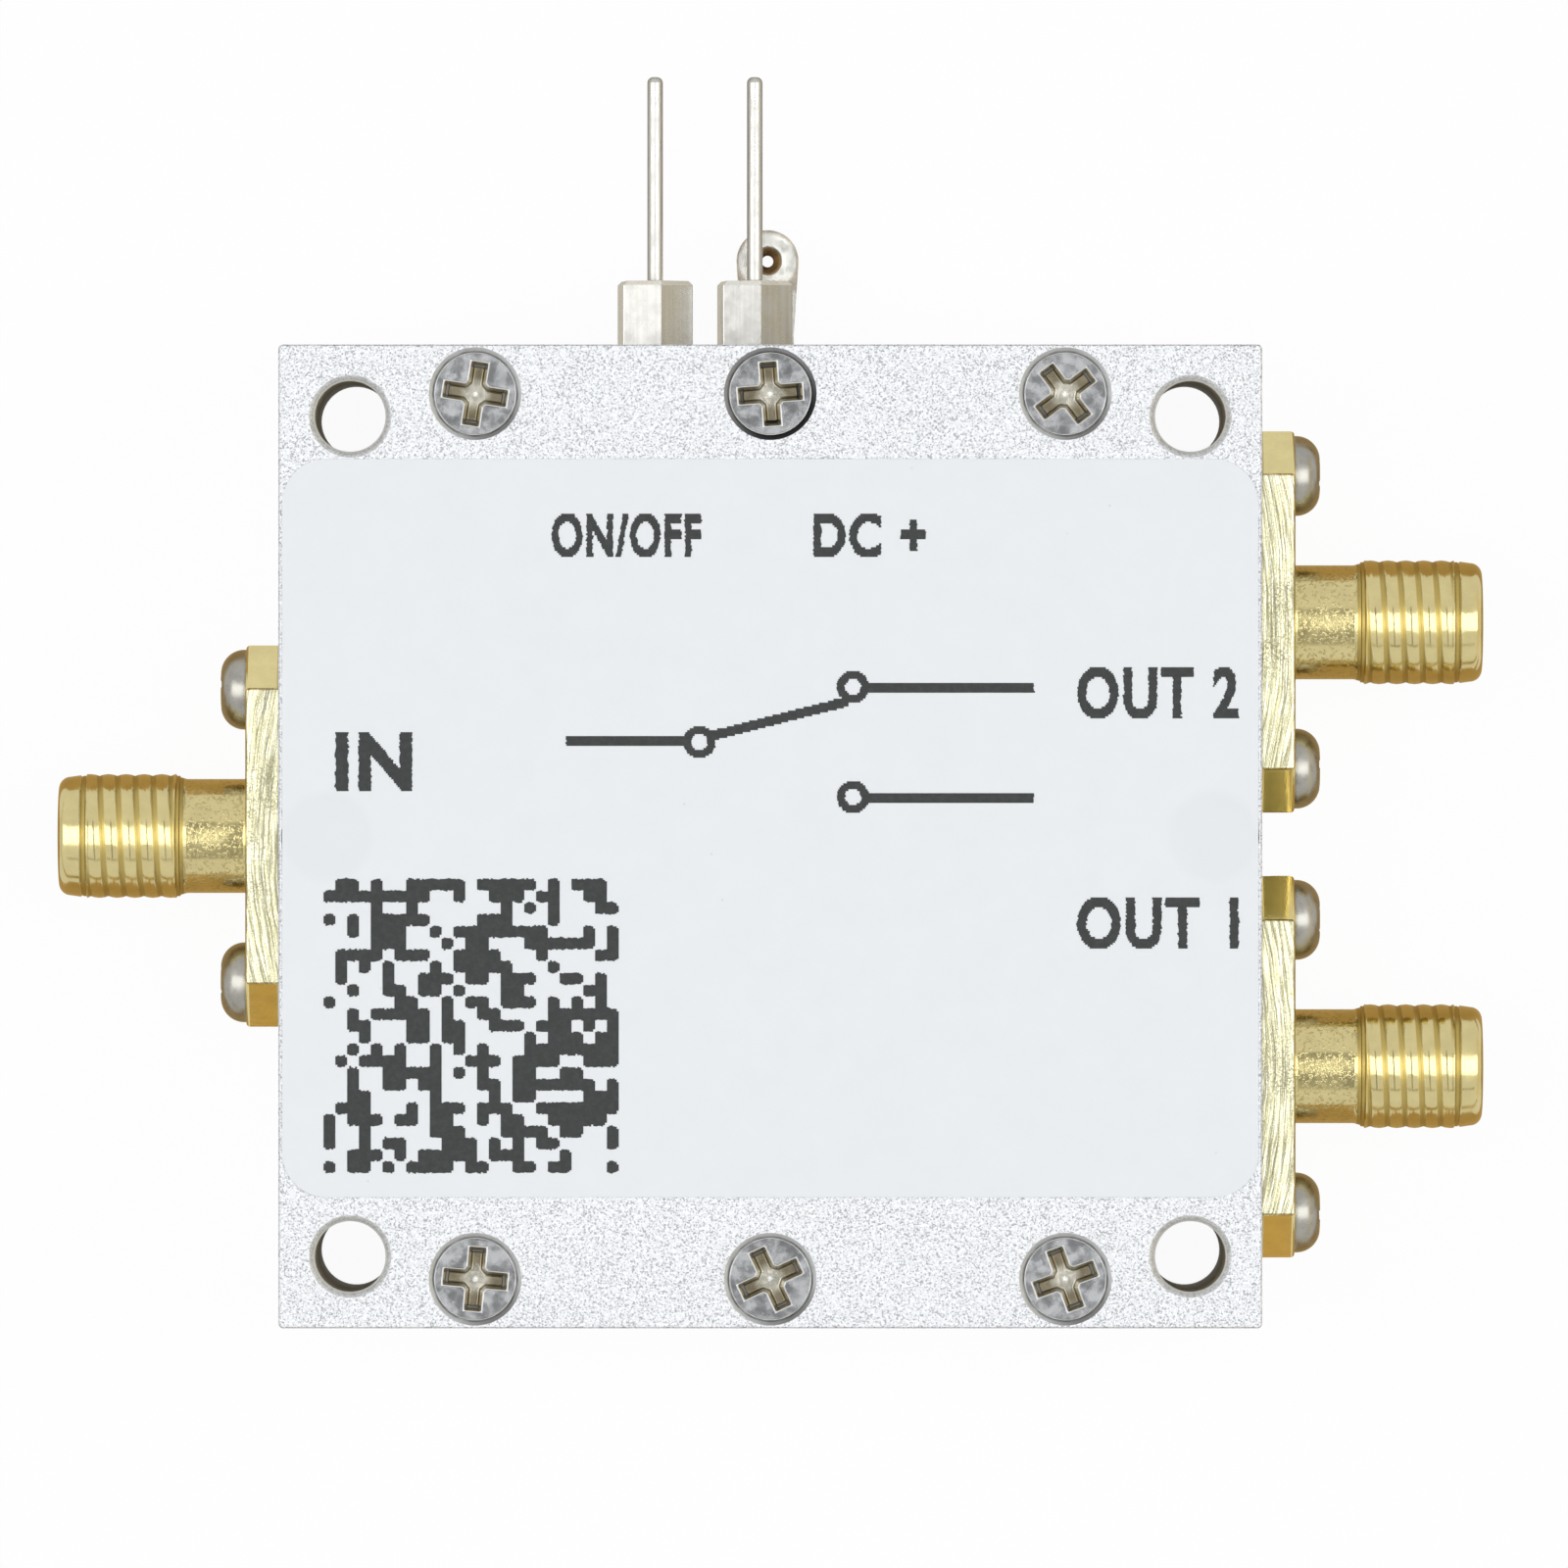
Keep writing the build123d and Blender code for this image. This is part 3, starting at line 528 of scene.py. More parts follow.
def lid_screw_finish(name, colour, recess, head_top, spacing, row):
    """Screw steel whose recess has painted shade, darkest at its walls, with a painted highlight round the
    recess's edge and at the centre of its floor.
    """
    made = polished_finish(name, colour, 0.22, 0.24)
    tone = made.tone()
    away = around_screw(made, spacing, row)[2]
    depth = made.minus(head_top / MM, made.axes()["Z"])
    # The recess: painted shade on its floor, paler in its middle, with a painted highlight at its centre.
    grime = made.noise(0.25, detail=3.0, roughness=0.6)
    floor = made.blend(made.soft(grime), (0.37, 0.355, 0.3), (0.54, 0.52, 0.45))
    recess_shade = made.blend(made.spread(away, 0.35, 0.95), floor, recess)
    painted_glint_reach = made.plus(away, made.times(grime, 0.3))
    recess_shade = made.blend(made.spread(painted_glint_reach, 0.2, 0.34), PAINTED_HIGHLIGHT, recess_shade)
    walls = made.blend(made.spread(depth, 0.3, 0.72), (0.5, 0.46, 0.35), recess_shade)
    # Just below the head's face the edge has a painted highlight. Deeper down, inside the recess, it has
    # painted shade.
    lower = made.spread(depth, 0.07, 0.1)
    brightened = made.times(made.spread(depth, 0.006, 0.02), made.minus(1.0, lower))
    taper = made.plus(away, made.times(depth, 0.3))
    in_reach = made.math("LESS_THAN", taper, RECESS_REACH)
    inside = made.times(lower, made.times(in_reach, made.math("LESS_THAN", depth, RECESS_DEPTH)))
    made.tint(made.blend(inside, made.blend(brightened, tone, PAINTED_HIGHLIGHT), walls))
    dull = made.plus(brightened, made.times(inside, 0.2))
    made.feed(made.math("SUBTRACT", 1.0, dull, clamp=True), "Metallic")
    return made


def cut_rim_finish(name):
    """The turned chamfer of a corner hole: grey, with a painted highlight at its inner edge."""
    made = Finish(name, (0.3, 0.3, 0.3), 0.4, 0.6)
    parts = made.axes()
    from_hole = [made.minus(made.math("ABSOLUTE", parts[axis]), CORNER_HOLE) for axis in "XY"]
    away = made.vector("LENGTH", made.join(*from_hole))
    grain = made.noise(0.12)
    tone = made.blend(made.spread(grain, 0.35, 0.65), (0.5, 0.51, 0.51), (0.72, 0.73, 0.73))
    # Painted highlight at the inner edge.
    inner = made.spread(away, CORNER_HOLE_RADIUS + 0.05, CORNER_HOLE_RADIUS + 0.1)
    made.tint(made.blend(inner, PAINTED_HIGHLIGHT, tone))
    made.bump(grain, 0.01, 0.5)
    return made


def shadowed_finish(name, spacing, row, reach):
    """The lid's metal down in a countersink, with painted shade that is darkest on the side away from the
    light. The screw in the middle of the back row is not tight, and round it the painted shade is a wider
    black gap."""
    made = Finish(name, (0.1, 0.1, 0.1), 0.4, 0.6)
    local_x, local_y, _ = around_screw(made, spacing, row)
    lean = made.minus(made.times(local_x, 0.55), made.times(local_y, 0.83))
    black_gap_share = made.spread(lean, -reach * 0.5, reach * 0.85)
    black_gap_shade = made.blend(black_gap_share, (0.30, 0.30, 0.31), (0.012, 0.012, 0.013))
    narrow_gap_shade = made.blend(made.spread(lean, reach * 0.45, reach * 1.1), (0.58, 0.59, 0.59), (0.2, 0.2, 0.19))
    parts = made.axes()
    centre = made.math("LESS_THAN", made.math("ABSOLUTE", parts["X"]), spacing / 2)
    loose_screw_shade = made.times(centre, made.math("GREATER_THAN", parts["Y"], 0.0))
    tone = made.blend(loose_screw_shade, narrow_gap_shade, black_gap_shade)
    made.tint(made.blend(made.times(made.noise(0.2, detail=3.0), 0.3), tone, (0.0, 0.0, 0.0)))
    return made


def gold_finish(name, colour, axis):
    """Gold plate. The plain neck behind the thread has a chattered, speckled relief whose specks are painted
    darker as a painted dark reflection, and down in the thread's grooves the gold has painted shade."""
    made = Finish(name, colour, 0.16, 1.0)
    cloud = made.noise(1.1, detail=4.0, roughness=0.6)
    tone = made.blend(made.soft(cloud), shaded(colour, 0.9), colour)
    pits = made.spread(made.cells(0.42), 0.03, 0.09, 0.35, 0.0)
    tone = made.blend(pits, tone, shaded(colour, 0.6))
    # Painted shade down in the thread's grooves, but not in the relief groove beyond it.
    parts = made.axes()
    around = made.join(0.0, parts["Y"], parts["Z"])
    reach = made.vector("DISTANCE", around, (0.0, axis.y / MM, axis.z / MM))
    along = made.minus(made.math("ABSOLUTE", parts["X"]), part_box("housing")[1].x / MM)
    groove = made.spread(reach, THREAD_RADIUS - 0.06, THREAD_RADIUS - 0.036, 1.0, 0.0)
    ahead = made.math("GREATER_THAN", along, NECK_END)
    on_thread = made.times(ahead, made.math("LESS_THAN", along, GROOVE_END))
    groove_shade_mask = made.times(groove, on_thread)
    tone = made.blend(groove_shade_mask, tone, GROOVE_SHADE_GOLD)
    made.feed(made.plus(made.soft(cloud, 0.1, 0.2), made.times(groove_shade_mask, 0.22)), "Roughness")
    # Chatter on the neck, over soft ripples. Its specks are painted darker: a painted dark reflection.
    on_neck = made.spread(along, NECK_END - 0.08, NECK_END, 1.0, 0.0)
    chatter = made.noise(0.2, roughness=0.6)
    specks = made.times(made.spread(chatter, 0.52, 0.66), on_neck)
    made.tint(made.blend(made.times(specks, 0.45), tone, shaded(colour, 0.55)))
    ripple = made.relief(made.noise(0.3, roughness=0.6), 0.004, 0.4)
    peel = made.relief(made.noise(0.11, roughness=0.6), 0.003, 0.5, ripple)
    made.bump(specks, 0.012, 0.7, peel)
    return made


def milled_gold_finish(name, colour, milled_colour, mill_spacing, cutter):
    """Gold plate over the long curved streaks that the cutter left on a flange's top."""
    made = Finish(name, colour, 0.1, 1.0)
    cloud = made.noise(1.1, detail=4.0, roughness=0.6)
    plain = made.blend(made.soft(cloud), colour, shaded(colour, 1.12))
    parts = made.axes()
    on_top = made.spread(parts["Z"], cutter[2] - 0.12, cutter[2] - 0.04)
    # Streaks along arcs round the cutter, which wander a little.
    away = made.vector("DISTANCE", made.place, cutter)
    wander = made.noise(2.0, detail=3.0, stretch=(1.0, 0.3, 1.0))
    arcs = made.join(made.plus(away, made.times(wander, 0.5)), made.times(parts["Y"], 0.035))
    streak = made.noise(mill_spacing, roughness=0.55, place=arcs)
    fine = made.noise(mill_spacing * 0.4, detail=1.0, place=arcs)
    face = made.blend(made.spread(streak, 0.4, 0.6), shaded(milled_colour, 0.46), milled_colour)
    face = made.blend(made.times(made.spread(fine, 0.5, 0.64), 0.5), face, (0.97, 0.96, 0.80))
    # Dull grit, mostly near the barrel.
    grit = made.noise(0.1, roughness=0.7)
    near_barrel = made.spread(made.apart(parts["Y"], cutter[1]), 1.0, 5.5, 1.0, 0.0)
    fading = made.spread(made.noise(2.2, detail=3.0, roughness=0.6), 0.3, 0.62)
    dulled = made.times(fading, made.spread(near_barrel, 0.0, 1.0, 0.3, 1.0))
    specks = made.times(made.spread(grit, 0.46, 0.6), dulled)
    face = made.blend(made.times(specks, 0.85), face, shaded(milled_colour, 0.36))
    made.tint(made.blend(on_top, plain, face))
    made.feed(made.spread(made.times(grit, on_top), 0.2, 0.7, 0.09, 0.4), "Roughness")
    height = made.plus(streak, made.times(made.times(grit, dulled), 0.8))
    marks = made.relief(made.times(height, on_top), 0.05, 0.8)
    made.bump(made.noise(0.11), 0.004, 0.5, marks)
    return made


def plated_finish(name, colour, roughness, brush=None, relief=0.006):
    """Plated metal, brushed along one axis where a brush is given."""
    made = Finish(name, colour, roughness, 1.0)
    stretch = (1.0, 1.0, 1.0) if brush is None else tuple(0.05 if axis == brush else 2.2 for axis in "XYZ")
    lines = made.noise(0.5, detail=4.0, roughness=0.65, stretch=stretch)
    cloud = made.noise(0.9, detail=4.0, roughness=0.6)
    made.tint(made.blend(made.soft(lines), shaded(colour, 0.9), shaded(colour, 1.05)))
    made.feed(made.soft(cloud, roughness * 0.75, roughness * 1.3), "Roughness")
    made.bump(lines, relief, 0.5)
    return made


def terminal_finish(name, colour, roughness, relief, centre, end):
    """Brushed nickel on a hexagon, with its right faces painted lighter and a painted highlight on its end
    chamfer and its low left flank.
    """
    made = plated_finish(name, colour, roughness, "Y", relief)
    tone = made.tone()
    parts = made.axes()
    aside = made.minus(parts["X"], centre / MM)
    # Painted light: the faces right of the ridge are lighter.
    painted_light_right_face = made.math("GREATER_THAN", aside, HEX_RIDGE)
    tone = made.blend(painted_light_right_face, tone, made.vector("SCALE", tone, scale=1.2))
    # Painted highlight on the low left flank and on the end chamfer.
    flank = made.math("LESS_THAN", aside, HEX_FLANK)
    chamfer = made.spread(parts["Y"], end / MM - 0.24, end / MM - 0.18)
    made.tint(made.blend(made.math("MAXIMUM", flank, chamfer), tone, PAINTED_HIGHLIGHT))
    return made


def stud_finish(name, colour, eye):
    """Tinned brass, with painted shadow along its shank, brown painted shade round its rim and brown painted
    shade down in the eye.
    """
    made = plated_finish(name, colour, 0.22, "Y")
    parts = made.axes()
    # Painted shadow along the shank.
    shank = made.spread(parts["Y"], eye.y / MM - 1.9, eye.y / MM - 1.3, 1.0, 0.0)
    tone = made.blend(shank, made.tone(), shaded(colour, 0.76))
    away = made.vector("DISTANCE", made.join(parts["X"], parts["Y"]), (eye.x / MM, eye.y / MM, 0.0))
    # Painted brown shade down in the eye.
    eye_hole_shade = made.blend(made.noise(0.3), (0.21, 0.15, 0.085), (0.36, 0.27, 0.16))
    # Painted shade round the eye's rim.
    rim = made.times(made.spread(away, EYE_RADIUS - 0.24, EYE_RADIUS - 0.04), made.minus(1.0, shank))
    tone = made.blend(rim, tone, (0.46, 0.41, 0.34))
    inside = made.spread(away, EYE_SINK_RADIUS - 0.08, EYE_SINK_RADIUS - 0.01, 1.0, 0.0)
    made.tint(made.blend(inside, tone, eye_hole_shade))
    return made


def moulded_finish(name, colour, roughness, grain, relief=0.01):
    """Plastic, resin or ceramic with a soft grain."""
    made = Finish(name, colour, roughness)
    cloud = made.noise(grain * 8.0, detail=3.0)
    made.tint(made.blend(made.soft(cloud), shaded(colour, 0.9), colour))
    made.bump(made.noise(grain, detail=3.0), relief, 0.5)
    return made


def board_finish(name, colour):
    """Green resist over a glass weave."""
    made = Finish(name, colour, 0.28)
    parts = made.axes()
    warp, weft = (made.math("SINE", made.times(parts[axis], 14.0)) for axis in "XY")
    weave = made.times(warp, weft)
    made.tint(made.blend(made.spread(weave, -1.0, 1.0), shaded(colour, 0.8), shaded(colour, 1.2)))
    made.bump(weave, 0.01, 0.3)
    return made


def chip_part_finish(name, body, along):
    """A ceramic body between two tinned ends, along one axis of the piece's own box."""
    made = Finish(name, body, 0.45)
    away = made.apart(made.axes(made.generated)[along], 0.5)
    ends = made.math("GREATER_THAN", away, 0.285)
    ceramic = made.blend(made.noise(0.2), shaded(body, 0.85), body)
    made.tint(made.blend(ends, ceramic, (0.75, 0.75, 0.74)))
    made.feed(ends, "Metallic")
    made.bump(made.noise(0.12), 0.01, 0.4)
    return made


# ---- Making meshes ------------------------------------------------------------------------------
def new_piece(name, mesh, body, finish):
    """A painted object that moves with a CAD body and is painted with the given finish."""
    obj = placed(name, mesh)
    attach(obj, body)
    paint(obj, finish)
    return obj


def mesh_from(bm, name, sharp_angle):
    """A mesh from a finished bmesh, smooth except at its sharp edges."""
    bmesh.ops.recalc_face_normals(bm, faces=bm.faces)
    mesh = bpy.data.meshes.new(name)
    bm.to_mesh(mesh)
    bm.free()
    mesh.shade_smooth()
    mesh.set_sharp_from_angle(angle=math.radians(sharp_angle))
    return mesh


def plate_with_holes(name, outline, holes, thickness, edge):
    """A flat plate from a drawn outline, with round holes and rounded edges."""
    curve = bpy.data.curves.new(name, "CURVE")
    curve.dimensions = "2D"
    curve.fill_mode = "BOTH"
    curve.extrude = (thickness / 2 - edge) * MM
    curve.bevel_depth = edge * MM
    curve.bevel_resolution = 3
    curve.offset = -edge * MM
    loops = [outline]
    steps = 40
    turns = [2 * math.pi * step / steps for step in range(steps)]
    for x, y, radius in holes:
        loops.append([(x + radius * math.cos(turn), y + radius * math.sin(turn)) for turn in turns])
    for loop in loops:
        spline = curve.splines.new("POLY")
        spline.points.add(len(loop) - 1)
        for point, (x, y) in zip(spline.points, loop):
            point.co = (x * MM, y * MM, 0.0, 1.0)
        spline.use_cyclic_u = True
    drawn = bpy.data.objects.new(name, curve)
    mesh = bpy.data.meshes.new_from_object(drawn)
    bpy.data.objects.remove(drawn)
    bpy.data.curves.remove(curve)
    return mesh


# ---- Jacks --------------------------------------------------------------------------------------
def jack_frame(name):
    """The jack's own axes: x and y across, z outwards, with the origin on the box's wall."""
    low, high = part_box(f"{name}_jack_shell")
    outwards = 1.0 if high.x > 0 else -1.0
    wall = low.x if outwards > 0 else high.x
    axes = Matrix(((0.0, 0.0, outwards), (outwards, 0.0, 0.0), (0.0, 1.0, 0.0))).to_4x4()
    return Matrix.Translation((wall, (low.y + high.y) / 2, (low.z + high.z) / 2)) @ axes


def thread_depth_at(phase, depth):
    """How far the thread lies below its crest, over one turn: a broad crest and a rounded groove."""
    if phase < CREST_SHARE:
        return CREST_DROP * abs(phase / CREST_SHARE - 0.5) * 2
    across = abs((phase - CREST_SHARE) / (1 - CREST_SHARE) - 0.5) * 2
    return CREST_DROP + (depth - CREST_DROP) * (1 - max(0.0, (across - 0.2) / 0.8)) ** 0.9


def barrel_column(angle, tip, pitch, depth):
    """The barrel's outline at one angle, from the flange round to the bore: its points as (along,
    radius), and the numbers of the first and the last of them that the thread moves."""
    root = THREAD_RADIUS - depth
    # Out of the flange, then along the neck.
    points = [
        (FLANGE_THICKNESS - 0.1, NECK_RADIUS + 0.1),
        (FLANGE_THICKNESS + 0.02, NECK_RADIUS + 0.1),
        (FLANGE_THICKNESS + 0.06, NECK_RADIUS + 0.02),
        (FLANGE_THICKNESS + 0.1, NECK_RADIUS),
        (FLANGE_THICKNESS + 0.16, NECK_RADIUS),
        (FLARE_START - 0.06, NECK_RADIUS),
    ]
    # Up the flare, and down into the ring groove where the thread starts.
    for step in range(FLARE_STEPS + 1):
        share = step / FLARE_STEPS
        rise = share * share * (3 - 2 * share) * (FLARE_RADIUS - NECK_RADIUS)
        points.append((FLARE_START + (THREAD_START - FLARE_START) * share, NECK_RADIUS + rise))
    thread_from = THREAD_START + RUNOUT_WIDTH
    points += [
        (THREAD_START + 0.05, root),
        (thread_from - 0.07, root),
        (thread_from - 0.03, THREAD_RADIUS - 0.03),
    ]
    # The thread, whose grooves fade out at both of its ends.
    first = len(points)
    turns = (THREAD_END - thread_from) / pitch + 2
    for step in range(math.ceil(turns * STEPS_PER_TURN) + 1):
        along = thread_from + (step / STEPS_PER_TURN + angle / (2 * math.pi) - 1) * pitch
        fade = min(along - thread_from, THREAD_END - along) / RUNOUT_FADE
        fade = min(max(fade, 0.0), 1.0) ** 0.7
        sunk = thread_depth_at((step % STEPS_PER_TURN) / STEPS_PER_TURN, depth) * fade
        points.append((min(max(along, thread_from), THREAD_END), THREAD_RADIUS - sunk))
    last = len(points)
    # The relief groove, then the conical land up to the rounded tip.
    shoulder = TIP_RADIUS + TIP_TAPER - 0.04
    points += [
        (THREAD_END + 0.06, root),
        (GROOVE_END - 0.06, root),
        (GROOVE_END, shoulder - 0.04),
        (GROOVE_END + 0.04, shoulder),
        (GROOVE_END + 0.1, TIP_RADIUS + TIP_TAPER * 0.9),
    ]
    for step in range(ROUND_STEPS + 1):
        turn = math.pi / 2 * step / ROUND_STEPS
        along = tip - TIP_ROUND * (1 - math.sin(turn))
        points.append((along, TIP_RADIUS - TIP_ROUND * (1 - math.cos(turn))))
    # Into the mouth and down the bore.
    points += [
        (tip, MOUTH_RADIUS + 0.08),
        (tip - 0.08, MOUTH_RADIUS),
        (tip - MOUTH_DEPTH, MOUTH_RADIUS),
        (tip - MOUTH_DEPTH, BORE_RADIUS),
        (FLANGE_THICKNESS - 0.1, BORE_RADIUS),
    ]
    return points, first, last


def barrel_mesh(name, tip, settings):
    """A turned barrel with a right-hand thread. Each column is joined to the next one, and in its
    thread the last column is joined to the first a whole turn further on."""
    bm = bmesh.new()
    columns = []
    for number in range(COLUMNS):
        angle = 2 * math.pi * number / COLUMNS
        points, first, last = barrel_column(angle, tip, settings.thread_pitch, settings.thread_depth)
        across, up = math.cos(angle), math.sin(angle)
        places = [Vector((radius * across, radius * up, along)) * MM for along, radius in points]
        columns.append([bm.verts.new(place) for place in places])
    rows = len(columns[0])
    straight = list(range(rows))
    wrapped = [min(row + STEPS_PER_TURN, last) if first <= row <= last else row for row in straight]
    for number, here in enumerate(columns):
        there = columns[(number + 1) % COLUMNS]
        meets = wrapped if number == COLUMNS - 1 else straight
        for below in straight:
            above = (below + 1) % rows
            corners = dict.fromkeys((here[below], here[above], there[meets[above]], there[meets[below]]))
            if len(corners) > 2:
                bm.faces.new(list(corners))
    bmesh.ops.remove_doubles(bm, verts=bm.verts, dist=0.0004 * MM)
    bmesh.ops.dissolve_degenerate(bm, edges=bm.edges, dist=0.0004 * MM)
    return mesh_from(bm, name, 34.0)


def cut_rectangle(centre, half_x, half_y, cuts):
    """The outline of a rectangle whose corners are cut off, each by its own length, as eight points."""
    outline = []
    for (side_x, side_y), back in zip(CORNERS, cuts):
        up = (centre[0] + side_x * half_x, centre[1] + side_y * (half_y - back))
        along = (centre[0] + side_x * (half_x - back), centre[1] + side_y * half_y)
        outline += [up, along] if side_x == side_y else [along, up]
    return outline


def flange_mesh(name, length, height, spacing):
    """The flange of a jack: a plate with cut corners, two screw holes and the bore."""
    outline = cut_rectangle((0.0, 0.0), length / 2, height / 2, [FLANGE_CORNER] * 4)
    holes = [(side * spacing / 2, 0.0, SCREW_HOLE_RADIUS) for side in (-1, 1)]
    holes.append((0.0, 0.0, BORE_RADIUS))
    mesh = plate_with_holes(name, outline, holes, FLANGE_THICKNESS, FLANGE_EDGE)
    mesh.transform(Matrix.Translation((0.0, 0.0, FLANGE_THICKNESS / 2 * MM)))
    bm = bmesh.new()
    bm.from_mesh(mesh)
    bmesh.ops.remove_doubles(bm, verts=bm.verts, dist=0.0005 * MM)
    bpy.data.meshes.remove(mesh)
    return mesh_from(bm, name, 30.0)


# ---- Label --------------------------------------------------------------------------------------
def grid_lines(half, fine_from, fine_middle=0.0):
    """Places across a sheet: close together near its edges and round its middle line."""
    stops = [0.0]
    while stops[-1] < half - 1e-9:
        here = stops[-1]
        fine = here >= fine_from - 1e-9 or here < fine_middle
        after = here + (FINE_STEP if fine else COARSE_STEP)
        stops.append(min(after if fine else min(after, fine_from), half))
    return [-stop for stop in reversed(stops[1:])] + stops


def film_mesh(name, settings, dips):
    """The label: a rounded sheet that sags a little over the hidden screws."""
    centre = (LABEL_LOW + LABEL_HIGH) / 2 / MM
    half_x, half_y = ((LABEL_HIGH[axis] - LABEL_LOW[axis]) / 2 / MM for axis in range(2))
    radius = settings.corner_radius
    across = grid_lines(half_x, half_x - END_BAND)
    upwards = grid_lines(half_y, half_y - radius - 0.2, MIDDLE_BAND)
    bm = bmesh.new()
    rows = []
    for y in upwards:
        row = []
        for x in across:
            over_x = abs(x) - (half_x - radius)
            over_y = abs(y) - (half_y - radius)
            place = Vector((x, y))
            if over_x > 0 and over_y > 0 and math.hypot(over_x, over_y) > radius:
                reach = radius / math.hypot(over_x, over_y)
                place.x = math.copysign(half_x - radius + over_x * reach, x)
                place.y = math.copysign(half_y - radius + over_y * reach, y)
            sag = 0.0
            for dip in dips:
                away = math.hypot(centre.x + place.x - dip.x / MM, centre.y + place.y - dip.y / MM)
                inside = min(max((DIP_RADIUS - away) / DIP_SLOPE, 0.0), 1.0)
                sag += settings.dip_depth * inside * inside * (3 - 2 * inside)
            wave = FILM_WAVE * noise.noise(Vector((place.x * 0.12, place.y * 0.12, 3.0)))
            top = LABEL_HIGH.z / MM - FILM_BELOW - sag + wave
            row.append(bm.verts.new(Vector((centre.x + place.x, centre.y + place.y, top)) * MM))
        rows.append(row)
    for low, high in zip(rows, rows[1:]):
        for column in range(len(low) - 1):
            bm.faces.new((low[column], low[column + 1], high[column + 1], high[column]))
    bmesh.ops.recalc_face_normals(bm, faces=bm.faces)
    made = bmesh.ops.extrude_face_region(bm, geom=bm.faces[:])
    for part in made["geom"]:
        if isinstance(part, bmesh.types.BMVert):
            part.co.z -= FILM_THICKNESS * MM
    return mesh_from(bm, name, 50.0)


def drawn_words(words, left, bottom, height, width, weight):
    """The triangles of a line of lettering: where it starts, its cap height, its width, and how much
    its strokes are thickened."""
    curve = bpy.data.curves.new("lettering", "FONT")
    curve.body = words
    curve.size = 1.0
    curve.offset = weight
    curve.space_character = LETTER_SPACING
    drawn = bpy.data.objects.new("lettering", curve)
    mesh = bpy.data.meshes.new_from_object(drawn)
    places = [(vertex.co.x, vertex.co.y) for vertex in mesh.vertices]
    low_x, low_y = (min(numbers) for numbers in zip(*places))
    high_x, high_y = (max(numbers) for numbers in zip(*places))
    scale_x = width / (high_x - low_x)
    scale_y = height / (high_y - low_y)
    places = [(left + (x - low_x) * scale_x, bottom + (y - low_y) * scale_y) for x, y in places]
    mesh.calc_loop_triangles()
    triangles = [[places[index] for index in triangle.vertices] for triangle in mesh.loop_triangles]
    bpy.data.objects.remove(drawn)
    bpy.data.meshes.remove(mesh)
    bpy.data.curves.remove(curve)
    return triangles


def bar(start, end, width):
    """Two triangles that make a straight stroke between two points."""
    start, end = Vector(start), Vector(end)
    side = (end - start).normalized().orthogonal() * width / 2
    corners = [tuple(place) for place in (start + side, end + side, end - side, start - side)]
    return [[corners[0], corners[1], corners[2]], [corners[0], corners[2], corners[3]]]


def ring(centre, radius, width):
    """Triangles that make a round ring."""
    steps = 24
    triangles = []
    for step in range(steps):
        turns = (2 * math.pi * step / steps, 2 * math.pi * (step + 1) / steps)
        places = []
        for reach in (radius - width / 2, radius + width / 2):
            places += [(centre[0] + reach * math.cos(t), centre[1] + reach * math.sin(t)) for t in turns]
        triangles += [[places[0], places[1], places[3]], [places[0], places[3], places[2]]]
    return triangles


def row_spans(triangles, height):
    """Where a level line crosses the triangles, as joined spans."""
    spans = []
    for corners in triangles:
        crossings = []
        for (ax, ay), (bx, by) in zip(corners, corners[1:] + corners[:1]):
            if (ay > height) != (by > height):
                crossings.append(ax + (bx - ax) * (height - ay) / (by - ay))
        if len(crossings) == 2:
            spans.append((min(crossings), max(crossings)))
    joined = []
    for start, end in sorted(spans):
        if joined and start <= joined[-1][1] + 0.01:
            joined[-1][1] = max(joined[-1][1], end)
        else:
            joined.append([start, end])
    return joined


def printed_mesh(name, triangles, settings, upright):
    """A print made of thin rows with ragged ends, as a thermal printer leaves it. Rows stand
    upright where asked."""
    if upright:
        triangles = [[(y, x) for x, y in corners] for corners in triangles]
    bottom = LABEL_HIGH.z / MM - PRINT_BOTTOM
    top = LABEL_HIGH.z / MM - PRINT_TOP
    step = settings.print_row
    low = min(y for corners in triangles for _, y in corners)
    high = max(y for corners in triangles for _, y in corners)
    bm = bmesh.new()
    row = math.floor(low / step)
    while row * step < high:
        for number, (start, end) in enumerate(row_spans(triangles, (row + 0.5) * step)):
            ends = []
            for place, sign in ((start, -1.0), (end, 1.0)):
                rough = noise.noise(Vector((place * 1.7, row * 0.61, sign * 9.0 + number)))
                rough += 0.6 * noise.noise(Vector((place * 0.4, row * 2.3, sign * 5.0)))
                ends.append(place + settings.print_jitter * 1.4 * rough)
            if ends[1] - ends[0] > SHORTEST_STROKE:
                sides = (row * step, (row + 1) * step)
                spans = (*sides, *ends) if upright else (*ends, *sides)
                box_between(bm, *spans, bottom, top)
        row += 1
    return mesh_from(bm, name, 30.0)


def box_between(bm, left, right, low, high, bottom, top):
    """A flat block without a floor."""
    corners = ((left, low), (right, low), (right, high), (left, high))
    upper = [bm.verts.new(Vector((x, y, top)) * MM) for x, y in corners]
    lower = [bm.verts.new(Vector((x, y, bottom)) * MM) for x, y in corners]
    bm.faces.new(upper)
    for number in range(4):
        after = (number + 1) % 4
        bm.faces.new((lower[number], lower[after], upper[after], upper[number]))


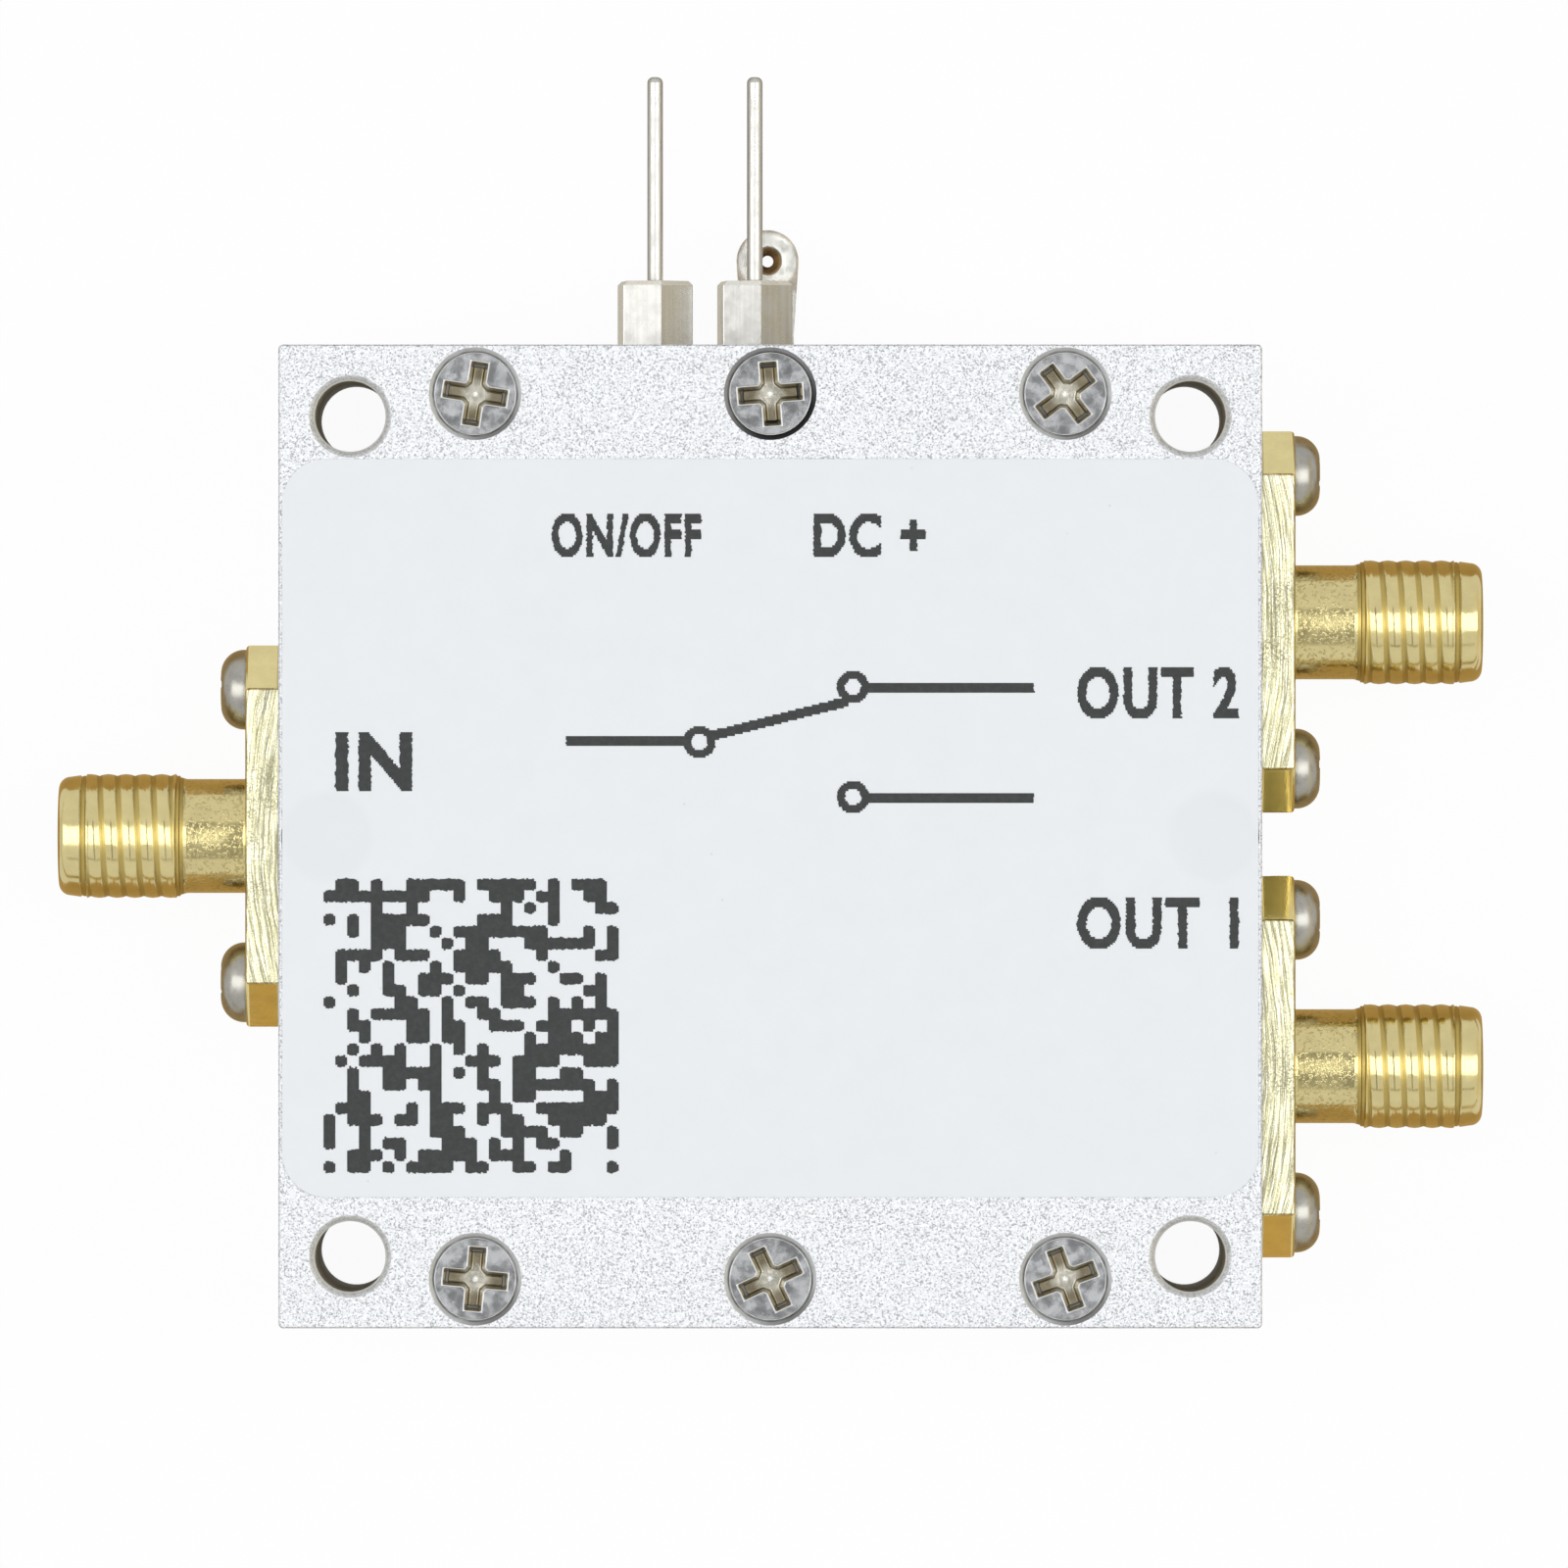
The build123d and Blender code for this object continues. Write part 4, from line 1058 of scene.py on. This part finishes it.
def block_pattern(left, bottom, side, cells):
    """Squares filled by a fixed rule, with no reading in them, whose free corners are rounded off."""
    size = side / cells
    filled = set()
    for row in range(cells):
        for column in range(cells):
            lump = noise.noise(Vector((column * 0.43, row * 0.43, 1.7)))
            grit = noise.noise(Vector((column * 5.13, row * 7.71, 4.2)))
            if 0.6 * lump + grit > -0.03:
                filled.add((column, row))
    triangles = []
    for column, row in sorted(filled):
        centre = (left + (column + 0.5) * size, bottom + (row + 0.5) * size)
        cuts = []
        for side_x, side_y in CORNERS:
            held = (column + side_x, row) in filled or (column, row + side_y) in filled
            cuts.append(0.0 if held else BLOCK_CUT * size)
        outline = cut_rectangle(centre, size / 2, size / 2, cuts)
        triangles += [[centre, first, second] for first, second in zip(outline, outline[1:] + outline[:1])]
    return triangles


# Each line of lettering: its words, left end, bottom, cap height, width and added weight.
LETTERING = {
    "print_on_off": ("ON/OFF", -11.1, 14.15, 2.3, 7.6, 0.036),
    "print_supply": ("DC +", 2.2, 14.15, 2.3, 5.7, 0.036),
    "print_input": ("IN", -22.1, 2.3, 3.0, 3.9, 0.036),
    "print_output_2": ("OUT 2", 15.6, 5.95, 2.7, 8.2, 0.034),
    "print_output_1": ("OUT 1", 15.6, -5.75, 2.7, 8.2, 0.034),
}


def switch_symbol():
    """The symbol of a two-way switch: a pole, its arm, and two throws."""
    left_end, right_end = -10.4, 13.4
    pole = (-3.6, 4.8)
    throw_2 = (4.2, 7.6)
    throw_1 = (4.2, 2.0)
    dot = 0.62
    symbol = bar((left_end, pole[1]), (pole[0] - dot, pole[1]), SYMBOL_LINE)
    symbol += ring(pole, dot, SYMBOL_RING)
    symbol += bar((pole[0] + 0.5, pole[1] + 0.28), (throw_2[0] - 0.3, throw_2[1] - 0.75), SYMBOL_LINE)
    for throw in (throw_2, throw_1):
        symbol += ring(throw, dot, SYMBOL_RING)
        symbol += bar((throw[0] + dot, throw[1]), (right_end, throw[1]), SYMBOL_LINE)
    return symbol


def print_drawings():
    """Every drawing on the label, by name, as triangles."""
    drawings = {name: drawn_words(*line) for name, line in LETTERING.items()}
    drawings["print_switch_symbol"] = switch_symbol()
    drawings["print_blocks"] = block_pattern(-22.7, -17.1, 14.95, 25)
    return drawings


# ---- Operators ----------------------------------------------------------------------------------
def seen_directly(tree):
    """1 for a ray from the camera, a mirror or glass, and 0 for light that spreads."""
    path = tree.nodes.new("ShaderNodeLightPath")
    seen = path.outputs["Is Camera Ray"]
    for name in ("Is Glossy Ray", "Is Transmission Ray"):
        either = tree.nodes.new("ShaderNodeMath")
        either.operation = "MAXIMUM"
        tree.links.new(seen, either.inputs[0])
        tree.links.new(path.outputs[name], either.inputs[1])
        seen = either.outputs[0]
    return seen


def stage_sheet(name, centre, right, up):
    """A flat four-sided sheet of the stage, from its centre and its two half sides, in metres."""
    bm = bmesh.new()
    centre, right, up = Vector(centre), Vector(right), Vector(up)
    corners = [centre + side_x * right + side_y * up for side_x, side_y in CORNERS]
    bm.faces.new([bm.verts.new(corner) for corner in corners])
    mesh = bpy.data.meshes.new(name)
    bm.to_mesh(mesh)
    bm.free()
    obj = placed(name, mesh)
    return obj


def mirrored_card(name, centre, right, up, colour):
    """A glowing sheet that only a mirror or a glossy face sees."""
    obj = stage_sheet(name, centre, right, up)
    made = Finish(name, colour, 1.0)
    cloud = made.noise(60.0)
    made.show(made.glow(made.blend(cloud, shaded(colour, 0.85), tuple(part * 1.15 for part in colour))))
    paint(obj, made)
    for kind in ("camera", "diffuse", "transmission", "volume_scatter", "shadow"):
        setattr(obj, f"visible_{kind}", False)


class COAX_OT_stage(bpy.types.Operator):
    """Floor, lamps, mirrored surroundings and camera"""

    bl_idname = "coax_switch.stage"
    bl_label = "Build the studio"

    def execute(self, context):
        settings = context.scene.coax_stage
        self.make_floor(settings)
        self.make_world(settings)
        self.make_softboxes(settings)
        self.make_surroundings(tuple(settings.table_shade_colour))
        self.make_camera(settings)
        return {"FINISHED"}

    def make_floor(self, settings):
        """A pale floor that is nearly white by itself, and still takes the object's shadow."""
        half = settings.floor_side / 2
        floor = stage_sheet("floor", (0, 0, 0), (half, 0, 0), (0, half, 0))
        made = Finish("pale floor", settings.floor_colour, 0.9)
        made.set("Specular IOR Level", 0.0)
        mixed = made.node("ShaderNodeMixShader")
        share = made.times(seen_directly(made.tree), settings.floor_glow)
        parts = (share, made.shader.outputs[0], made.glow((1.0, 1.0, 1.0, 1.0)))
        for source, socket in zip(parts, mixed.inputs):
            made.tree.links.new(source, socket)
        made.show(mixed.outputs[0])
        made.tint(made.blend(made.noise(120.0), shaded(settings.floor_colour, 0.99), settings.floor_colour))
        paint(floor, made)

    def make_world(self, settings):
        """Even light from all round, white where it is seen."""
        world = bpy.data.worlds.new("studio")
        bpy.context.scene.world = world
        world.use_nodes = True
        tree = world.node_tree
        background = tree.nodes["Background"]
        background.inputs["Color"].default_value = (1.0, 1.0, 1.0, 1.0)
        level = tree.nodes.new("ShaderNodeMapRange")
        level.inputs["To Min"].default_value = settings.fill
        level.inputs["To Max"].default_value = 1.0
        tree.links.new(seen_directly(tree), level.inputs["Value"])
        tree.links.new(level.outputs["Result"], background.inputs["Strength"])

    def make_softboxes(self, settings):
        """Two long softboxes, left and right of the camera, that leave a gap between them."""
        for side, name in ((-1, "softbox left"), (1, "softbox right")):
            lamp = bpy.data.lights.new(name, "AREA")
            lamp.shape = "RECTANGLE"
            lamp.size = 0.52
            lamp.size_y = 1.3
            lamp.energy = settings.softbox_power
            obj = placed(name, lamp)
            obj.location = (side * 0.42, 0.02, 0.8)
            obj.rotation_mode = "QUATERNION"
            obj.rotation_quaternion = (-obj.location).to_track_quat("-Z", "Y")

    def make_surroundings(self, table_shade):
        """Cards for the dark gap by the camera, painted shade on the table near the part and under the jacks,
        the table in front and the walls. Each has its centre, its two half sides and its colour, in metres."""
        front = tuple(part * 1.35 for part in table_shade)
        cards = [("gap over the part", (0, -0.18, 0.86), (0.095, 0, 0), (0, 0.64, 0), (0.44, 0.45, 0.44))]
        for side in (-1, 1):
            # Painted table shade beside the part, and a lighter copy of it far in front.
            cards += [
                ("painted table shade", (side * 0.035, 0, 0.0002), (0.0092, 0, 0), (0, 0.15, 0), table_shade),
                ("warm table front", (side * 0.032, -0.525, 0.0002), (0.025, 0, 0), (0, 0.375, 0), front),
            ]
        # Painted shade on the table under each jack.
        for name in JACK_NAMES:
            jack = middle(f"{name}_jack_shell")
            ahead = (math.copysign(0.044, jack.x), jack.y, 0.0004)
            cards.append(("painted shade under a jack", ahead, (0.018, 0, 0), (0, 0.0052, 0), table_shade))
        cards += [
            ("pale table tone", (0, 0.044, 0.0002), (0.0215, 0, 0), (0, 0.02, 0), (0.55, 0.51, 0.43)),
            ("right wall", (0.9, 0, 0.26), (0, 0.9, 0), (0, 0, 0.26), (1.0, 0.91, 0.71)),
            ("left wall", (-0.9, 0, 0.05), (0, 0.9, 0), (0, 0, 0.05), (0.66, 0.62, 0.52)),
            ("front wall", (0, -0.9, 0.045), (0.9, 0, 0), (0, 0, 0.06), (0.54, 0.39, 0.14)),
            ("front rail", (0, -0.62, 0.62), (0.5, 0, 0), (0, 0.012, 0.012), (0.30, 0.24, 0.12)),
        ]
        for card in cards:
            mirrored_card(*card)

    def make_camera(self, settings):
        """Straight down, with the lid at its place and scale in the image."""
        camera = bpy.data.cameras.new("camera")
        obj = placed("camera", camera)
        bpy.context.scene.camera = obj
        metres_per_pixel = MM / PIXELS_PER_MM
        above_lid = settings.camera_height - LID_TOP
        camera.sensor_width = 36.0
        camera.lens = camera.sensor_width * above_lid / (IMAGE_SIDE * metres_per_pixel)
        camera.clip_start = 0.01
        aside = (IMAGE_SIDE / 2 - LID_CENTRE_PIXEL[0]) * metres_per_pixel
        upwards = (LID_CENTRE_PIXEL[1] - IMAGE_SIDE / 2) * metres_per_pixel
        obj.location = (aside, upwards, settings.camera_height)


class COAX_OT_box(bpy.types.Operator):
    """Milled housing and blasted lid"""

    bl_idname = "coax_switch.box"
    bl_label = "Finish the box"

    def execute(self, context):
        settings = context.scene.coax_box
        paint_nodes(["housing"], milled_finish("milled aluminium", tuple(settings.box_colour)))
        blasted = blasted_finish("blasted aluminium", tuple(settings.lid_colour), settings.lid_grain)
        paint_nodes(["lid"], blasted)
        soften("housing", settings.edge_break)
        soften("lid", settings.edge_break)
        return {"FINISHED"}


class COAX_OT_label(bpy.types.Operator):
    """Label film and its print"""

    bl_idname = "coax_switch.label"
    bl_label = "Make the label"

    def execute(self, context):
        settings = context.scene.coax_label
        dips = []
        for side in ("left", "right"):
            screw = middle(f"hidden_screw_{side}")
            dips.append(Vector((screw.x, screw.y, LABEL_HIGH.z)))
        film_look = film_finish("label film", tuple(settings.film_colour), dips)
        film = new_piece("label_film", film_mesh("label_film", settings, dips), LID, film_look)
        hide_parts("label")
        ink = ink_finish("print ink", tuple(settings.ink_colour))
        for name, triangles in print_drawings().items():
            mesh = printed_mesh(name, triangles, settings, name == "print_blocks")
            new_piece(name, mesh, LID, ink)
        return {"FINISHED"}


def from_corner_hole(face):
    """How far a face's middle is from the axis of the nearest corner hole."""
    return math.hypot(abs(face.center.x) / MM - CORNER_HOLE, abs(face.center.y) / MM - CORNER_HOLE)


class COAX_OT_screws(bpy.types.Operator):
    """Lid screws, flange screws and board screws"""

    bl_idname = "coax_switch.screws"
    bl_label = "Finish the screws"

    def execute(self, context):
        settings = context.scene.coax_screws
        lid_screws = [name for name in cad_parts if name.startswith(("lid_screw", "hidden_screw"))]
        low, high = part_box("lid_screw_1")
        spacing = (middle("lid_screw_3") - middle("lid_screw_2")).length / MM
        row = (low.y + high.y) / 2 / MM
        colour = tuple(settings.lid_screw_colour)
        recess = tuple(settings.recess_shade_colour)
        paint_nodes(lid_screws, lid_screw_finish("lid screw steel", colour, recess, high.z, spacing, row))
        for name in lid_screws:
            soften(name, 0.07, 40.0, 3, False)
        self.shade_countersinks(spacing, row, (high.x - low.x) / 2)
        pan_screws = [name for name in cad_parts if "flange_screw" in name or "board_screw" in name]
        paint_nodes(pan_screws, polished_finish("plated screw steel", tuple(settings.pan_screw_colour), 0.3))
        for name in pan_screws:
            soften(name, 0.05, 40.0)
        return {"FINISHED"}

    def shade_countersinks(self, spacing, row, head_radius):
        """Give the lid's countersinks painted shade and the corner holes' walls brown painted shade, darker
        than the face, and the holes' chamfers a painted highlight.
        """
        # Brown painted shade on the corner holes' walls.
        hole_wall_shade = moulded_finish("hole wall", (0.43, 0.385, 0.28), 0.5, 0.4)
        hole_wall_shade.set("Metallic", 0.22)
        hole_wall_shade.set("Specular IOR Level", 0.0)
        lower_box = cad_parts["housing"].data
        lower_box.materials.append(hole_wall_shade.material)
        for face in lower_box.polygons:
            if from_corner_hole(face) < CORNER_HOLE_RADIUS + 0.05 and abs(face.normal.z) < 0.1:
                face.material_index = 1
        reach = head_radius / MM + COUNTERSINK_MARGIN
        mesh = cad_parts["lid"].data
        shadowed = shadowed_finish("countersink shadow", spacing, row, reach)
        for finish in (shadowed, hole_wall_shade, cut_rim_finish("cut rim")):
            mesh.materials.append(finish.material)
        below = LID_TOP / MM - 0.02
        for face in mesh.polygons:
            place = face.center / MM
            if abs(face.normal.z) > 0.9 or place.z > below:
                continue
            local_x = (place.x + spacing / 2) % spacing - spacing / 2
            if math.hypot(local_x, abs(place.y) - row) < reach and abs(place.x) < 1.5 * spacing:
                face.material_index = 1
            elif from_corner_hole(face) < CORNER_HOLE_RADIUS + 0.05:
                face.material_index = 2
            elif from_corner_hole(face) < CORNER_HOLE_RADIUS + 0.5:
                face.material_index = 3


class COAX_OT_jacks(bpy.types.Operator):
    """Threaded gold jacks with their flanges, insulators and contacts"""

    bl_idname = "coax_switch.jacks"
    bl_label = "Make the jacks"

    def execute(self, context):
        settings = context.scene.coax_jacks
        for name in JACK_NAMES:
            self.make_shell(name, settings)
        white = moulded_finish("white insulator", (0.86, 0.86, 0.83), 0.4, 0.3, 0.006)
        paint_nodes([f"{name}_jack_insulator" for name in JACK_NAMES], white)
        pin_gold = plated_finish("contact gold", (0.88, 0.69, 0.33), 0.18)
        paint_nodes([f"{name}_jack_contact" for name in JACK_NAMES], pin_gold)
        return {"FINISHED"}

    def make_shell(self, name, settings):
        """A jack's threaded barrel and its flange, which stand for its shell."""
        node = f"{name}_jack_shell"
        low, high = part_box(node)
        tip, length, height = (high - low) / MM
        place = jack_frame(name)
        gold = tuple(settings.gold_colour)
        barrel = barrel_mesh(f"{name}_jack_barrel", tip, settings)
        barrel.transform(place)
        look = gold_finish(f"gold plate, {name}", gold, place.translation)
        barrel_piece = new_piece(f"{name}_jack_barrel", barrel, HOUSING, look)
        spacing = abs(middle(f"{name}_flange_screw_2").y - middle(f"{name}_flange_screw_1").y) / MM
        flange = flange_mesh(f"{name}_jack_flange", length, height, spacing)
        flange.transform(place)
        centre = place.translation / MM
        cutter = (centre.x - math.copysign(CUTTER_REACH, centre.x), centre.y, high.z / MM)
        colours = (gold, tuple(settings.milled_colour))
        look = milled_gold_finish(f"milled gold, {name}", *colours, settings.mill_spacing, cutter)
        flange_piece = new_piece(f"{name}_jack_flange", flange, HOUSING, look)
        flat = flange_piece.modifiers.new("flat faces", "WEIGHTED_NORMAL")
        flat.keep_sharp = True
        flat.weight = 100
        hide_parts(node)
        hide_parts(node)


class COAX_OT_terminals(bpy.types.Operator):
    """Feed-through terminals and the earth stud"""

    bl_idname = "coax_switch.terminals"
    bl_label = "Finish the terminals"

    def execute(self, context):
        settings = context.scene.coax_terminals
        nickel = tuple(settings.nickel_colour)
        looks = {
            "control": ("bright nickel", nickel, 0.26, 0.012),
            "supply": ("brushed nickel", shaded(nickel, 0.88), 0.3, 0.02),
        }
        tin = plated_finish("tinned wire", tuple(settings.tin_colour), 0.36, "Y", 0.012)
        bead = moulded_finish("dark resin", (0.02, 0.02, 0.022), 0.3, 0.2)
        for name, look in looks.items():
            shell = f"{name}_feed_shell"
            paint_nodes([shell], terminal_finish(*look, middle(shell).x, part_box(shell)[1].y))
            soften(shell, 0.07, 25.0)
            paint_nodes([f"{name}_lead"], tin)
            paint_nodes([f"{name}_feed_bead"], bead)
        low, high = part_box("earth_stud")
        eye = Vector(((low.x + high.x) / 2, high.y - EYE_RADIUS * MM, high.z))
        paint_nodes(["earth_stud"], stud_finish("tinned stud", tuple(settings.eye_colour), eye))
        soften("earth_stud", 0.22, 40.0, 3)
        return {"FINISHED"}


class COAX_OT_board(bpy.types.Operator):
    """Circuit board and what is on it"""

    bl_idname = "coax_switch.board"
    bl_label = "Finish the board"

    def execute(self, context):
        settings = context.scene.coax_board
        paint_nodes(["circuit_board"], board_finish("green board", tuple(settings.resist_colour)))
        paint_nodes(["copper_tracks"], plated_finish("flashed copper", (0.86, 0.62, 0.3), 0.3))
        mould = moulded_finish("black mould", (0.018, 0.018, 0.02), 0.5, 0.1)
        paint_nodes(["switch_chip", "logic_chip"], mould)
        ceramic = (0.42, 0.27, 0.15)
        across = chip_part_finish("ceramic capacitor", ceramic, "X")
        paint_nodes([f"{name}_capacitor" for name in JACK_NAMES], across)
        paint_nodes(["supply_capacitor"], chip_part_finish("supply ceramic", ceramic, "Y"))
        paint_nodes(["control_resistor"], chip_part_finish("resistor body", (0.02, 0.02, 0.022), "Y"))
        solder = plated_finish("bright solder", (0.74, 0.75, 0.76), 0.28, None, 0.02)
        paint_nodes([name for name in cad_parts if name.endswith("_solder")], solder)
        return {"FINISHED"}


class COAX_PT_panel(bpy.types.Panel):
    """Buttons for each part of the module"""

    bl_idname = "COAX_PT_panel"
    bl_label = "Coaxial switch"
    bl_space_type = "VIEW_3D"
    bl_region_type = "UI"
    bl_category = "Coax switch"

    def draw(self, context):
        for group, settings, operator in STEPS:
            box = self.layout.box()
            box.operator(operator.bl_idname)
            values = getattr(context.scene, group)
            for name in settings.__annotations__:
                box.prop(values, name)


STEPS = (
    ("coax_stage", StageSettings, COAX_OT_stage),
    ("coax_box", BoxSettings, COAX_OT_box),
    ("coax_label", LabelSettings, COAX_OT_label),
    ("coax_screws", ScrewSettings, COAX_OT_screws),
    ("coax_jacks", JackSettings, COAX_OT_jacks),
    ("coax_terminals", TerminalSettings, COAX_OT_terminals),
    ("coax_board", BoardSettings, COAX_OT_board),
)


def register():
    for group, settings, operator in STEPS:
        bpy.utils.register_class(settings)
        bpy.utils.register_class(operator)
        setattr(bpy.types.Scene, group, bpy.props.PointerProperty(type=settings))
    bpy.utils.register_class(COAX_PT_panel)


def unregister():
    bpy.utils.unregister_class(COAX_PT_panel)
    for group, settings, operator in reversed(STEPS):
        delattr(bpy.types.Scene, group)
        bpy.utils.unregister_class(operator)
        bpy.utils.unregister_class(settings)


def main():
    register()
    bpy.context.scene.view_settings.view_transform = "Standard"
    for _, _, operator in STEPS:
        family, name = operator.bl_idname.split(".")
        getattr(getattr(bpy.ops, family), name)()


if __name__ == "__main__":
    main()
